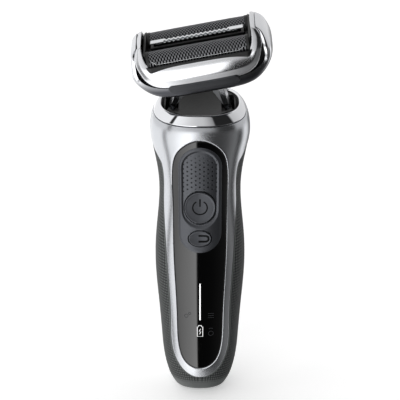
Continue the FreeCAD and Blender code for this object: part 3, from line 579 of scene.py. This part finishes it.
def head_outline(points):
    """A front outline from its right half, which starts at the middle: the left half, then the right."""
    half = by_index(points, HEAD_COUNT)
    return np.concatenate([half[:0:-1] * np.array([-1, 1]), half])


def bezel_rows():
    """Rows from the opening's edge, over the upper facet, the ridge and the lower facet, to the outer edge.
    Each row runs round the front, over the right wing, round the back and over the left wing."""
    opening, outer = head_outline(OPENING), head_outline(BEZEL)
    wide = np.linalg.norm(outer - opening, axis=1)
    # share across, millimetres below the form
    profile = [(0.0, 5.0), (0.0, 2.0), (0.0, WALL_START), (0.02, 1.3), (0.06, 1.12)]
    profile += [(t, 1.05 * (1 - (t - 0.08) / 0.46)) for t in np.linspace(0.1, 0.52, 6)]
    profile += [(0.56, 0.0), (0.62, 0.05), (0.72, 0.16), (0.84, 0.2), (0.94, 0.22), (0.98, 0.32), (1.0, 0.5),
                (1.0, 2.0)]
    over = np.linspace(-1, 1, 22)[1:-1]
    rows = []
    for share, below in profile:
        at = opening + (outer - opening) * share
        # The opening's wall drops straight down along the front and runs inwards at the wings.
        inwards = rise(np.abs(at[:, 0]), 18.4, 20.0)
        deeper = max(0.0, below - WALL_START) * (share == 0)
        at[:, 1] -= deeper * (1 - inwards)
        drop = (below - deeper * (1 - inwards)) * np.clip(wide / 9.0, 0.25, 1)
        depth = head_depth(at[:, 0], at[:, 1]) - drop
        front = head_place(at[:, 0], -depth, at[:, 1])
        rear = head_place(at[::-1, 0], depth[::-1], at[::-1, 1])
        tops = []
        for k, way in ((-1, 1), (0, -1)):
            bulge = 0.75 * (1 - over ** 2) - 0.12 * below * (1 - over ** 4)
            across = at[k, 0] - np.sign(at[k, 0]) * 0.1 * (1 - over ** 2)
            tops.append(head_place(across, way * over * depth[k], at[k, 1] + bulge))
        rows.append(np.concatenate([front, tops[0], rear, tops[1]]))
    return rows


def band_half(way):
    """Rows of the band's front (way -1) or rear (way 1) half, from the bezel's gap out to the silhouette."""
    inner, outer = head_outline(BAND), head_outline(FLOOR_EDGE)
    depth = head_depth(inner[:, 0], inner[:, 1]) - 0.12
    slot = np.abs(outer[:, 0]) < NECK_SLOT[0]
    last = np.where(slot, np.arccos((NECK_SLOT[1] / depth) ** (HEAD_SQUARENESS / 2)), np.pi / 2)
    rows = [head_place(inner[:, 0], way * (depth - 2.2), inner[:, 1]),
            head_place(inner[:, 0], way * (depth - 0.35), inner[:, 1])]
    for t in np.linspace(0.0, 1.0, 26):
        turn = last * t
        share = np.abs(np.sin(turn)) ** (2 / HEAD_SQUARENESS)
        y = depth * np.abs(np.cos(turn)) ** (2 / HEAD_SQUARENESS)
        soft = 0.22 * np.clip(1 - t * 8, 0, 1)
        at = inner + (outer - inner) * share[:, None]
        rows.append(head_place(at[:, 0], way * (y - soft), at[:, 1]))
    return rows


def head_covers(chrome, band, liner, strip):
    grid_piece("bezel_head", bezel_rows(), chrome, "head", ["head_bezel"], crease=28)
    halves = np.array([band_half(-1), band_half(1)])
    count, columns = halves.shape[1:3]
    faces = [tuple(half * count * columns + k for k in face) for half in (0, 1)
             for face in grid_faces(count, columns)]
    make_piece("band_head", halves, faces, band, "head", ["head_band"], crease=50)
    # Painted shade: dark liners stand behind the crescent gaps between the bezel and the band.
    inner, outer = head_outline(BEZEL), head_outline(BAND)
    for name, way in (("front", -1), ("rear", 1)):
        rows = []
        for share in (-0.3, 0.0, 0.5, 1.0, 1.3):
            at = inner + (outer - inner) * share
            depth = head_depth(at[:, 0], at[:, 1]) - 1.6
            rows.append(head_place(at[:, 0], way * depth, at[:, 1]))
        grid_piece("liner_" + name, rows, liner, "head", wrap_columns=False)
        release_strip(name, way, strip)


def release_strip(name, way, material):
    """The spring release: a raised bar with rounded ends and a crisp upper lip."""
    half, low, high = RELEASE
    radius = (high - low) / 2
    turn = np.linspace(-np.pi / 2, np.pi / 2, 15)
    right = np.stack([half - radius + radius * np.cos(turn), (low + high) / 2 + radius * np.sin(turn)], 1)
    straight = np.stack([np.linspace(half - radius, radius - half, 42)[1:-1], np.full(40, high)], 1)
    edge = np.concatenate([right, straight, -right + np.array([0, low + high]),
                           straight[::-1] * [1, 0] + [0, low]])
    spine = np.stack([np.clip(edge[:, 0], radius - half, half - radius),
                      np.full(len(edge), (low + high) / 2)], 1)
    rows = []
    for share, proud in ((1.0, -1.6), (1.0, 0.1), (0.95, 0.32), (0.86, 0.42), (0.7, 0.4), (0.35, 0.36),
                         (0.0, 0.34)):
        at = spine + (edge - spine) * share
        lip = 0.1 * rise(at[:, 1], high - 0.9, high - 0.2) * (share < 0.99)
        bow = 1 - np.clip(np.abs(at[:, 0]) / 26.5, 0, 1) ** HEAD_SQUARENESS
        full = 12.55 * bow ** (1 / HEAD_SQUARENESS)
        y = full - 0.55 * ((high - at[:, 1]) / (high - low)) ** 2 + proud + lip
        rows.append(head_place(at[:, 0], way * np.minimum(y, RELEASE_OUT), at[:, 1]))
    grid_piece("release_" + name, rows, material, name + "_release", [name + "_release"])


# --- cassette
FOIL = (18.3, 6.5, 3.4, 15.8, 20.7)         # half length, pitch, half depth, edge and crest heights


def foil_sheet(name, way, material):
    """One foil: a thin arched sheet, slightly crowned along its length."""
    half, pitch, deep, edge, crest = FOIL
    along = np.linspace(-half, half, 90)
    rows = []
    for inset, turns in ((0.0, np.linspace(0, np.pi, 31)), (0.28, np.linspace(np.pi, 0, 31))):
        for turn in turns:
            crown = 0.12 * (1 - (along / half) ** 4)
            y = way * pitch + (deep - inset) * np.cos(turn)
            z = edge + (crest - edge - inset - 0.12 + crown) * np.abs(np.sin(turn)) ** 0.92
            rows.append(head_place(along, np.full(90, y), z))
    grid_piece("sheet_" + name + "_foil", rows, material, name + "_foil", [name + "_foil"],
               wrap_columns=False, wrap_rows=True, crease=60)


def ribbon(name, line, half, thick, material, body, replaced):
    """A flat strip in the head's frame: line is (x, y, z) points, wide across y and thick along z."""
    line = np.asarray(line, float)
    ahead = np.concatenate([line[1:], line[-1:]]) - np.concatenate([line[:1], line[:-1]])
    way = ahead[:, :2] / np.linalg.norm(ahead[:, :2], axis=1, keepdims=True)
    side = np.stack([-way[:, 1], way[:, 0], 0 * way[:, 0]], 1) * half[:, None]
    rows = []
    for offset, drop in ((-side, thick), (-side, 0.0), (side, 0.0), (side, thick)):
        at = line + offset
        rows.append(head_place(at[:, 0], at[:, 1], at[:, 2] - drop))
    make_piece(name, np.stack(rows, 1), strip_faces(len(line)), material, body, replaced)


def trimmer_comb(material):
    """The zigzag comb of the middle trimmer between two solid ends."""
    top, pitch, reach, end = 20.9, 1.75, 12.25, 17.7
    line, half = [(-end, 0, top), (-reach - 0.4, 0, top)], [1.0, 1.0]
    count = int(round(2 * reach / (pitch / 2)))
    for k in range(count + 1):
        line.append((-reach + 2 * reach * k / count, 0.55 * (-1) ** k, top))
        half.append(0.42)
    line += [(reach + 0.4, 0, top), (end, 0, top)]
    half += [1.0, 1.0]
    ribbon("comb_trimmer", line, np.array(half), 0.45, material, "trimmer", ["trimmer_guard"])


def foil_hems(material):
    """The bright folded edge along the outer side of each foil, turned up at its ends."""
    for name, way in (("front", -1), ("rear", 1)):
        y = way * (FOIL[1] + FOIL[2])
        x = np.concatenate([[-17.3, -17.1, -16.6, -15.8], np.linspace(-15, 15, 16), [15.8, 16.6, 17.1, 17.3]])
        z = 17.1 + 1.4 * rise(np.abs(x), 15.4, 17.4)
        rows = []
        for dy, dz in ((-0.1, -0.16), (0.13, -0.16), (0.13, 0.16), (-0.1, 0.16)):
            rows.append(head_place(x, y + way * dy, z + dz))
        make_piece("hem_" + name + "_foil", np.stack(rows, 1), strip_faces(len(x)), material, name + "_foil")


# --- materials
def linear(code):
    """A linear colour from an sRGB hex value."""
    channels = [int(code[k:k + 2], 16) / 255 for k in (1, 3, 5)]
    return [c / 12.92 if c <= 0.04045 else ((c + 0.055) / 1.055) ** 2.4 for c in channels] + [1.0]


def add(tree, kind, inputs=(), **settings):
    """Adds a shader node with its settings; inputs are (socket, value or output socket) pairs."""
    node = tree.nodes.new("ShaderNode" + kind)
    for key, value in settings.items():
        setattr(node, key, value)
    for socket, value in inputs:
        if isinstance(value, bpy.types.NodeSocket):
            tree.links.new(value, node.inputs[socket])
        else:
            node.inputs[socket].default_value = value
    return node


def start(name, colour, metallic=0.0, roughness=0.5, specular=0.5):
    material = bpy.data.materials.new(name)
    material.use_nodes = True
    tree = material.node_tree
    shader = tree.nodes["Principled BSDF"]
    for socket, value in (("Base Color", linear(colour)), ("Metallic", metallic), ("Roughness", roughness),
                          ("Specular IOR Level", specular)):
        shader.inputs[socket].default_value = value
    return material, tree, shader


def place_mm(tree):
    """Position on the object in millimetres, in the row frame at rest."""
    spot = add(tree, "TexCoord")
    return add(tree, "VectorMath", [(0, spot.outputs["Object"]), ("Scale", 1000.0)],
               operation="SCALE").outputs["Vector"]


def fine_grain(tree, shader, grain_mm, height_mm, rough_low, rough_high, edge_mm=0.0):
    """Grain at its real size, in the bump and the roughness; edge_mm rounds the look of sharp edges."""
    spot = place_mm(tree)
    noise = add(tree, "TexNoise", [("Vector", spot), ("Scale", 1 / grain_mm), ("Detail", 3.0)])
    spread = add(tree, "MapRange", [("Value", noise.outputs["Fac"]), ("From Min", 0.3),
                                    ("From Max", 0.7), ("To Min", rough_low), ("To Max", rough_high)])
    tree.links.new(spread.outputs["Result"], shader.inputs["Roughness"])
    bump = add(tree, "Bump", [("Height", noise.outputs["Fac"]), ("Strength", 1.0),
                              ("Distance", height_mm * MM)])
    if edge_mm:
        bump = add(tree, "Bevel", [("Radius", edge_mm * MM), ("Normal", bump.outputs["Normal"])], samples=4)
    tree.links.new(bump.outputs["Normal"], shader.inputs["Normal"])


def satin_silver():
    """Satin metallic lacquer on ABS: soft wide highlights, and a faint flake sparkle."""
    material, tree, shader = start("satin_lacquer_silver", "#C9CBCF", metallic=0.92, roughness=0.24)
    fine_grain(tree, shader, 0.35, 0.002, 0.21, 0.27)
    return material


def gloss_black():
    """Polished black ABS under clear lacquer: a hard-edged mirror over deep black."""
    material, tree, shader = start("polished_abs_black", "#040405", roughness=0.035, specular=0.8)
    fine_grain(tree, shader, 6.0, 0.001, 0.03, 0.05)
    return material


def grip_rubber():
    """Moulded TPE rubber: matt charcoal, with painted shade darkening the hollows between the pips."""
    material, tree, shader = start("moulded_tpe_charcoal", "#3A3C3D", roughness=0.6, specular=0.45)
    spot = place_mm(tree)
    noise = add(tree, "TexNoise", [("Vector", spot), ("Scale", 2.2), ("Detail", 4.0)])
    shade = add(tree, "ValToRGB", [("Fac", noise.outputs["Fac"])])
    shade.color_ramp.elements[0].color = linear("#5B5F5E")
    shade.color_ramp.elements[1].color = linear("#6E7271")
    # Painted shade: the hollows between the pips darken towards near black #1E2021.
    painted_pit_shade = add(tree, "Attribute", attribute_name="painted_pit_shade")
    deep = add(tree, "MapRange", [("Value", painted_pit_shade.outputs["Fac"]), ("From Min", 0.3), ("From Max", 0.75)])
    dark = add(tree, "Mix", [("Factor", deep.outputs["Result"]), (6, shade.outputs["Color"]),
                             (7, linear("#1E2021"))], data_type="RGBA")
    tree.links.new(dark.outputs[2], shader.inputs["Base Color"])
    bump = add(tree, "Bump", [("Height", noise.outputs["Fac"]), ("Distance", 0.01 * MM)])
    tree.links.new(bump.outputs["Normal"], shader.inputs["Normal"])
    return material


def nearest_spot(tree, across, along, pitch_across, pitch_along):
    """Distance to the nearest spot of two interleaved lattices."""
    nearest = []
    for shift in (0.0, 0.5):
        folded = []
        for line, pitch in ((across, pitch_across), (along, pitch_along)):
            moved = add(tree, "Math", [(0, line), (1, shift * pitch)], operation="ADD")
            fold = add(tree, "Math", [(0, moved.outputs[0]), (1, pitch / 2)], operation="PINGPONG")
            folded.append(fold.outputs[0])
        both = add(tree, "CombineXYZ", [(0, folded[0]), (1, folded[1])])
        far = add(tree, "VectorMath", [(0, both.outputs[0])], operation="LENGTH")
        nearest.append(far.outputs["Value"])
    return add(tree, "Math", [(0, nearest[0]), (1, nearest[1])], operation="MINIMUM").outputs[0]


def satin_graphite():
    """Satin graphite lacquer on ABS, with a staggered field of small dimples above the power key."""
    material, tree, shader = start("satin_lacquer_graphite", "#54565B", metallic=0.55, roughness=0.33)
    spot = place_mm(tree)
    axes = add(tree, "SeparateXYZ", [(0, spot)])
    x, z = axes.outputs["X"], axes.outputs["Z"]
    dimple = 0.27
    near = nearest_spot(tree, x, z, 3.28, 1.92)
    seen = add(tree, "CombineXYZ", [(0, x), (1, z)])
    key = add(tree, "VectorMath", [(0, seen.outputs[0]), (1, (0.0, POWER[1], 0.0))], operation="DISTANCE")
    wide = add(tree, "Math", [(0, x)], operation="ABSOLUTE")
    hole = 1.0
    # The field ends round the key, below it, at the sides and softly at the top.
    for value, low, high, before, after in (
            (near, dimple, dimple + 0.12, 1.0, 0.0), (key.outputs["Value"], 7.98, 8.02, 0.0, 1.0),
            (z, 94.58, 94.62, 0.0, 1.0), (wide.outputs[0], 6.68, 6.72, 1.0, 0.0),
            (z, 107.5, 112.0, 1.0, 0.0)):
        share = add(tree, "MapRange", [("Value", value), ("From Min", low), ("From Max", high),
                                       ("To Min", before), ("To Max", after)])
        hole = add(tree, "Math", [(0, share.outputs["Result"]), (1, hole)], operation="MULTIPLY").outputs[0]
    grain = add(tree, "TexNoise", [("Vector", spot), ("Scale", 3.0), ("Detail", 3.0)])
    shade = add(tree, "Mix", [("Factor", hole), (6, linear("#54565B")), (7, linear("#14161C"))],
                data_type="RGBA")
    tree.links.new(shade.outputs[2], shader.inputs["Base Color"])
    rough = add(tree, "Math", [(0, grain.outputs["Fac"]), (1, 0.03)], operation="MULTIPLY")
    depth = add(tree, "Math", [(0, rough.outputs[0]), (1, hole)], operation="SUBTRACT")
    bump = add(tree, "Bump", [("Height", depth.outputs[0]), ("Distance", 0.12 * MM)])
    tree.links.new(bump.outputs["Normal"], shader.inputs["Normal"])
    return material


def plain(name, colour, metallic, roughness, grain_mm=0.5, height_mm=0.002, edge_mm=0.2, **more):
    material, tree, shader = start(name, colour, metallic, roughness, **more)
    fine_grain(tree, shader, grain_mm, height_mm, roughness * 0.85, roughness * 1.15, edge_mm)
    return material


def bright_chrome():
    """Chromium plating on ABS: an almost perfect mirror with the faintest orange peel."""
    return plain("chrome_plate_mirror", "#E4E5E8", 1.0, 0.05, 3.0, 0.003, 0.15)


def satin_chrome():
    """Satin chrome on the bezel: brushed a little, so highlights stretch but stay clear."""
    return plain("chrome_plate_satin", "#D9DADD", 1.0, 0.17, 0.6, 0.002, 0.35)


def band_chrome():
    """The outer band: chrome at the sides that fades by height to gunmetal lacquer along the floor."""
    material, tree, shader = start("chrome_to_gunmetal_band", "#D9DADD", metallic=1.0, roughness=0.12)
    spot = place_mm(tree)
    height = add(tree, "VectorMath", [(0, spot), (1, tuple(HEAD_Z))], operation="DOT_PRODUCT")
    level = add(tree, "Math", [(0, height.outputs["Value"]), (1, float(HEAD_FLOOR @ HEAD_Z))],
                operation="SUBTRACT")
    fade = add(tree, "MapRange", [("Value", level.outputs["Value"]), ("From Min", 5.5), ("From Max", 14.0)])
    shade = add(tree, "Mix", [("Factor", fade.outputs["Result"]), (6, linear("#4A4B4F")),
                              (7, linear("#DEDFE2"))], data_type="RGBA")
    tree.links.new(shade.outputs[2], shader.inputs["Base Color"])
    rough = add(tree, "MapRange", [("Value", fade.outputs["Result"]), ("To Min", 0.32), ("To Max", 0.12)])
    tree.links.new(rough.outputs["Result"], shader.inputs["Roughness"])
    return material


def glowing(name, colour, strength):
    """A lamp behind a clear window: a flat white glow."""
    material, tree, shader = start(name, colour, roughness=0.4)
    shader.inputs["Emission Color"].default_value = linear(colour)
    shader.inputs["Emission Strength"].default_value = strength
    return material


def foil_steel():
    """Electroformed foil: thin steel with staggered holes, drawn a little coarser than the real ones."""
    material, tree, shader = start("foil_steel_perforated", "#808184", metallic=1.0, roughness=0.42)
    spot = place_mm(tree)
    hole = 0.25
    along, back = [add(tree, "VectorMath", [(0, spot), (1, tuple(way))], operation="DOT_PRODUCT")
                   for way in (HEAD_X, HEAD_Y)]
    near = nearest_spot(tree, along.outputs["Value"], back.outputs["Value"], 1.16, 0.96)
    open_share = add(tree, "MapRange", [("Value", near), ("From Min", hole), ("From Max", hole + 0.1),
                                        ("To Min", 1.0), ("To Max", 0.0)])
    shade = add(tree, "Mix", [("Factor", open_share.outputs["Result"]), (6, linear("#808184")),
                              (7, linear("#0C0C0D"))], data_type="RGBA")
    tree.links.new(shade.outputs[2], shader.inputs["Base Color"])
    bump = add(tree, "Bump", [("Height", open_share.outputs["Result"]), ("Distance", 0.08 * MM)], invert=True)
    tree.links.new(bump.outputs["Normal"], shader.inputs["Normal"])
    return material


# By slot; each plain one has a comment that says what it gives the eye.
MATERIALS = {
    "satin_silver": satin_silver(),
    "gloss_black": gloss_black(),
    "grip_rubber": grip_rubber(),
    "satin_graphite": satin_graphite(),
    # the inner shells: plain black with a soft sheen
    "housing_black": plain("moulded_abs_black", "#1B1B1D", 0.0, 0.5),
    # a lit window: even white
    "lit_window": glowing("lamp_window_white", "#FFFFFF", 0.78),
    # pale and smooth, like frosted glass
    "light_guide": plain("clear_acrylic_guide", "#D8DCDD", 0.0, 0.2),
    # tight green film with a bright sheen
    "cell_sleeve": plain("shrink_sleeve_green", "#2F6A4A", 0.0, 0.35),
    # deep green with a resin sheen
    "board_green": plain("fibreglass_board_green", "#1F5A35", 0.0, 0.45),
    # warm grey metal strip
    "nickel": plain("nickel_strip", "#BDB9AE", 1.0, 0.3),
    # cool grey metal of screws and shafts
    "zinc_steel": plain("zinc_plated_steel", "#B4B6B8", 1.0, 0.32),
    # dull black with no clear highlight
    "seal_rubber": plain("moulded_rubber_black", "#17181A", 0.0, 0.6),
    "bright_chrome": bright_chrome(),
    # near black, so that a gap reads as depth: on the liners behind the head's gaps it is painted shade
    "matt_black": plain("moulded_abs_matt_and_gap_shade", "#0A0B0C", 0.0, 0.55, 0.4, 0.006, 0.2),
    # pale steel with a soft streak of light
    "brushed_steel": plain("ground_steel", "#C2C4C6", 1.0, 0.25),
    # bright cast metal with a faint ripple
    "arm_silver": plain("cast_zinc_polished", "#D2D3D6", 1.0, 0.2, 1.5, 0.003, 0.4),
    # light grey and waxy
    "grey_plastic": plain("moulded_pom_grey", "#A3A5A8", 0.0, 0.5),
    "band_chrome": band_chrome(),
    "satin_chrome": satin_chrome(),
    # the warm red of wound wire
    "copper_coil": plain("enamelled_copper", "#A5602C", 0.9, 0.35),
    # dark metallic lacquer with a wide soft highlight
    "band_grey": plain("gunmetal_lacquer", "#4A4B4E", 0.9, 0.33, 0.5, 0.002, 0.35),
    # black plastic with a slight grain
    "cassette_black": plain("moulded_pa_black", "#141516", 0.0, 0.42, 0.5, 0.004, 0.3),
    "foil_steel": foil_steel(),
    # a clean bright edge on every blade
    "blade_steel": plain("polished_blade_steel", "#D6D8DA", 1.0, 0.15),
}


def dress_cad():
    """Gives every CAD node the finish of its slot."""
    for names in frame["record"]["behaviour"].get("bodies", {}).values():
        for name in names:
            piece = frame["nodes"][name]
            slot = piece.data.materials[0].name.split(".")[0] if piece.data.materials else ""
            if slot not in MATERIALS:
                print("SLOT", name, slot)
                continue
            for k in range(len(piece.data.materials)):
                piece.data.materials[k] = MATERIALS[slot]


# --- studio
# Brightness round the horizon, as (degrees to the right of the front, brightness).
RING_ABOVE = [(-180, 1.0), (-61, 1.05), (-58, 0.03), (-50, 0.03), (-47, 1.15), (-25, 1.0), (2, 0.65),
              (17, 0.3), (20, 0.02), (66, 0.02), (74, 0.6), (110, 0.75), (180, 0.85)]
RING_LEVEL = [(-180, 1.3), (-78, 1.4), (-72, 0.25), (-65, 0.25), (-60, 1.4), (-44, 1.4), (-12, 2.2),
              (-2.6, 2.6), (-2.0, 0.02), (14, 0.03), (42, 0.08), (64, 0.22), (74, 0.24), (82, 0.05),
              (95, 0.05), (104, 0.8), (114, 1.3), (134, 1.0), (142, 0.15), (180, 0.5)]
RING_BELOW = [(-180, 1.5), (-60, 1.8), (-20, 1.2), (10, 0.7), (45, 0.3), (90, 0.15), (125, 0.3), (180, 0.6)]
BRIGHTEST = 5.0
EYE = (0, -389.4, 243.8)
AIM = (0, 0, 86.5)
LENS = 91.8


def world():
    """Soft studio surroundings: bright on the left, dark on the right, white to the camera."""
    surroundings = bpy.data.worlds.new("studio")
    bpy.context.scene.world = surroundings
    surroundings.use_nodes = True
    tree = surroundings.node_tree
    back = tree.nodes["Background"]
    way = add(tree, "SeparateXYZ", [(0, add(tree, "TexCoord").outputs["Generated"])])
    front = add(tree, "Math", [(0, way.outputs["Y"]), (1, -1.0)], operation="MULTIPLY")
    turn = add(tree, "Math", [(0, way.outputs["X"]), (1, front.outputs["Value"])], operation="ARCTAN2")
    share = add(tree, "MapRange", [("Value", turn.outputs["Value"]), ("From Min", -math.pi),
                                   ("From Max", math.pi)])
    rings = []
    for stops in (RING_ABOVE, RING_LEVEL, RING_BELOW):
        ramp = add(tree, "ValToRGB", [("Fac", share.outputs["Result"])])
        elements = ramp.color_ramp.elements
        for k, (degrees, bright) in enumerate(stops):
            element = elements[k] if k < 2 else elements.new((degrees + 180) / 360)
            element.position = (degrees + 180) / 360
            element.color = (bright / BRIGHTEST, bright / BRIGHTEST, bright / BRIGHTEST, 1.0)
        rings.append(ramp.outputs["Color"])
    above, level, below = rings
    rising = add(tree, "MapRange", [("Value", way.outputs["Z"]), ("From Min", -0.12), ("From Max", 0.0)])
    sinking = add(tree, "MapRange", [("Value", way.outputs["Z"]), ("From Min", -0.92), ("From Max", -0.78)])
    low = add(tree, "Mix", [("Factor", sinking.outputs["Result"]), (6, below), (7, level)], data_type="RGBA")
    whole = add(tree, "Mix", [("Factor", rising.outputs["Result"]), (6, low.outputs[2]), (7, above)],
                data_type="RGBA")
    lift = add(tree, "Math", [(0, whole.outputs[2]), (1, BRIGHTEST)], operation="MULTIPLY")
    path = add(tree, "LightPath")
    strength = add(tree, "Mix", [("Factor", path.outputs["Is Camera Ray"]), (2, lift.outputs["Value"]),
                                 (3, 1.0)], data_type="FLOAT")
    back.inputs["Color"].default_value = (1, 1, 1, 1)
    tree.links.new(strength.outputs[0], back.inputs["Strength"])


def floor():
    """A plain white floor that takes a soft contact shadow."""
    mesh = bpy.data.meshes.new("floor")
    mesh.from_pydata([(-3, -3, 0), (3, -3, 0), (3, 3, 0), (-3, 3, 0)], [], [(0, 1, 2, 3)])
    plane = bpy.data.objects.new("floor", mesh)
    bpy.context.scene.collection.objects.link(plane)
    material, tree, shader = start("white_sweep", "#FFFFFF", roughness=0.9, specular=0.0)
    shader.inputs["Emission Color"].default_value = (1, 1, 1, 1)
    shader.inputs["Emission Strength"].default_value = 0.35
    mesh.materials.append(material)
    plane.visible_glossy = False
    plane.visible_diffuse = False


def camera():
    data = bpy.data.cameras.new("camera")
    data.lens = LENS
    data.sensor_width = 36.0
    eye = bpy.data.objects.new("camera", data)
    bpy.context.scene.collection.objects.link(eye)
    eye.location = Vector(EYE) * MM
    eye.rotation_euler = (Vector(AIM) * MM - eye.location).to_track_quat("-Z", "Y").to_euler()
    bpy.context.scene.camera = eye


def main():
    dress_cad()
    silver_frame(MATERIALS["satin_silver"])
    gloss_panel(MATERIALS["gloss_black"])
    switch_plate(MATERIALS["satin_graphite"])
    for name, oval, below, body, node in (
            ("key_power", POWER, power_below, "power_button", "power_button"),
            ("key_lock", LOCK, lock_below, "lock_button", "head_lock_button")):
        island(name, oval_edge(oval), oval_spine(oval), below, MATERIALS["satin_graphite"], body,
               [node], fine=24, count=96, depth=1.9)
    # Printed ink: dull black marks on the keys, and dim grey windows where a lamp is off.
    dark = plain("printed_mark_black", "#050608", 0.0, 0.6, edge_mm=0.0, specular=0.15)
    dim = plain("printed_mark_grey", "#3A3C3F", 0.0, 0.5, edge_mm=0.0, specular=0.2)
    symbols(dark, MATERIALS["lit_window"], dim)
    rubber_grip(MATERIALS["grip_rubber"])
    collar(MATERIALS["bright_chrome"], MATERIALS["seal_rubber"])
    head_covers(MATERIALS["satin_chrome"], MATERIALS["band_chrome"], MATERIALS["matt_black"],
                MATERIALS["band_grey"])
    for name, way in (("front", -1), ("rear", 1)):
        foil_sheet(name, way, MATERIALS["foil_steel"])
    foil_hems(MATERIALS["blade_steel"])
    trimmer_comb(MATERIALS["blade_steel"])
    world()
    floor()
    camera()
    bpy.context.scene.view_settings.view_transform = "Standard"


main()
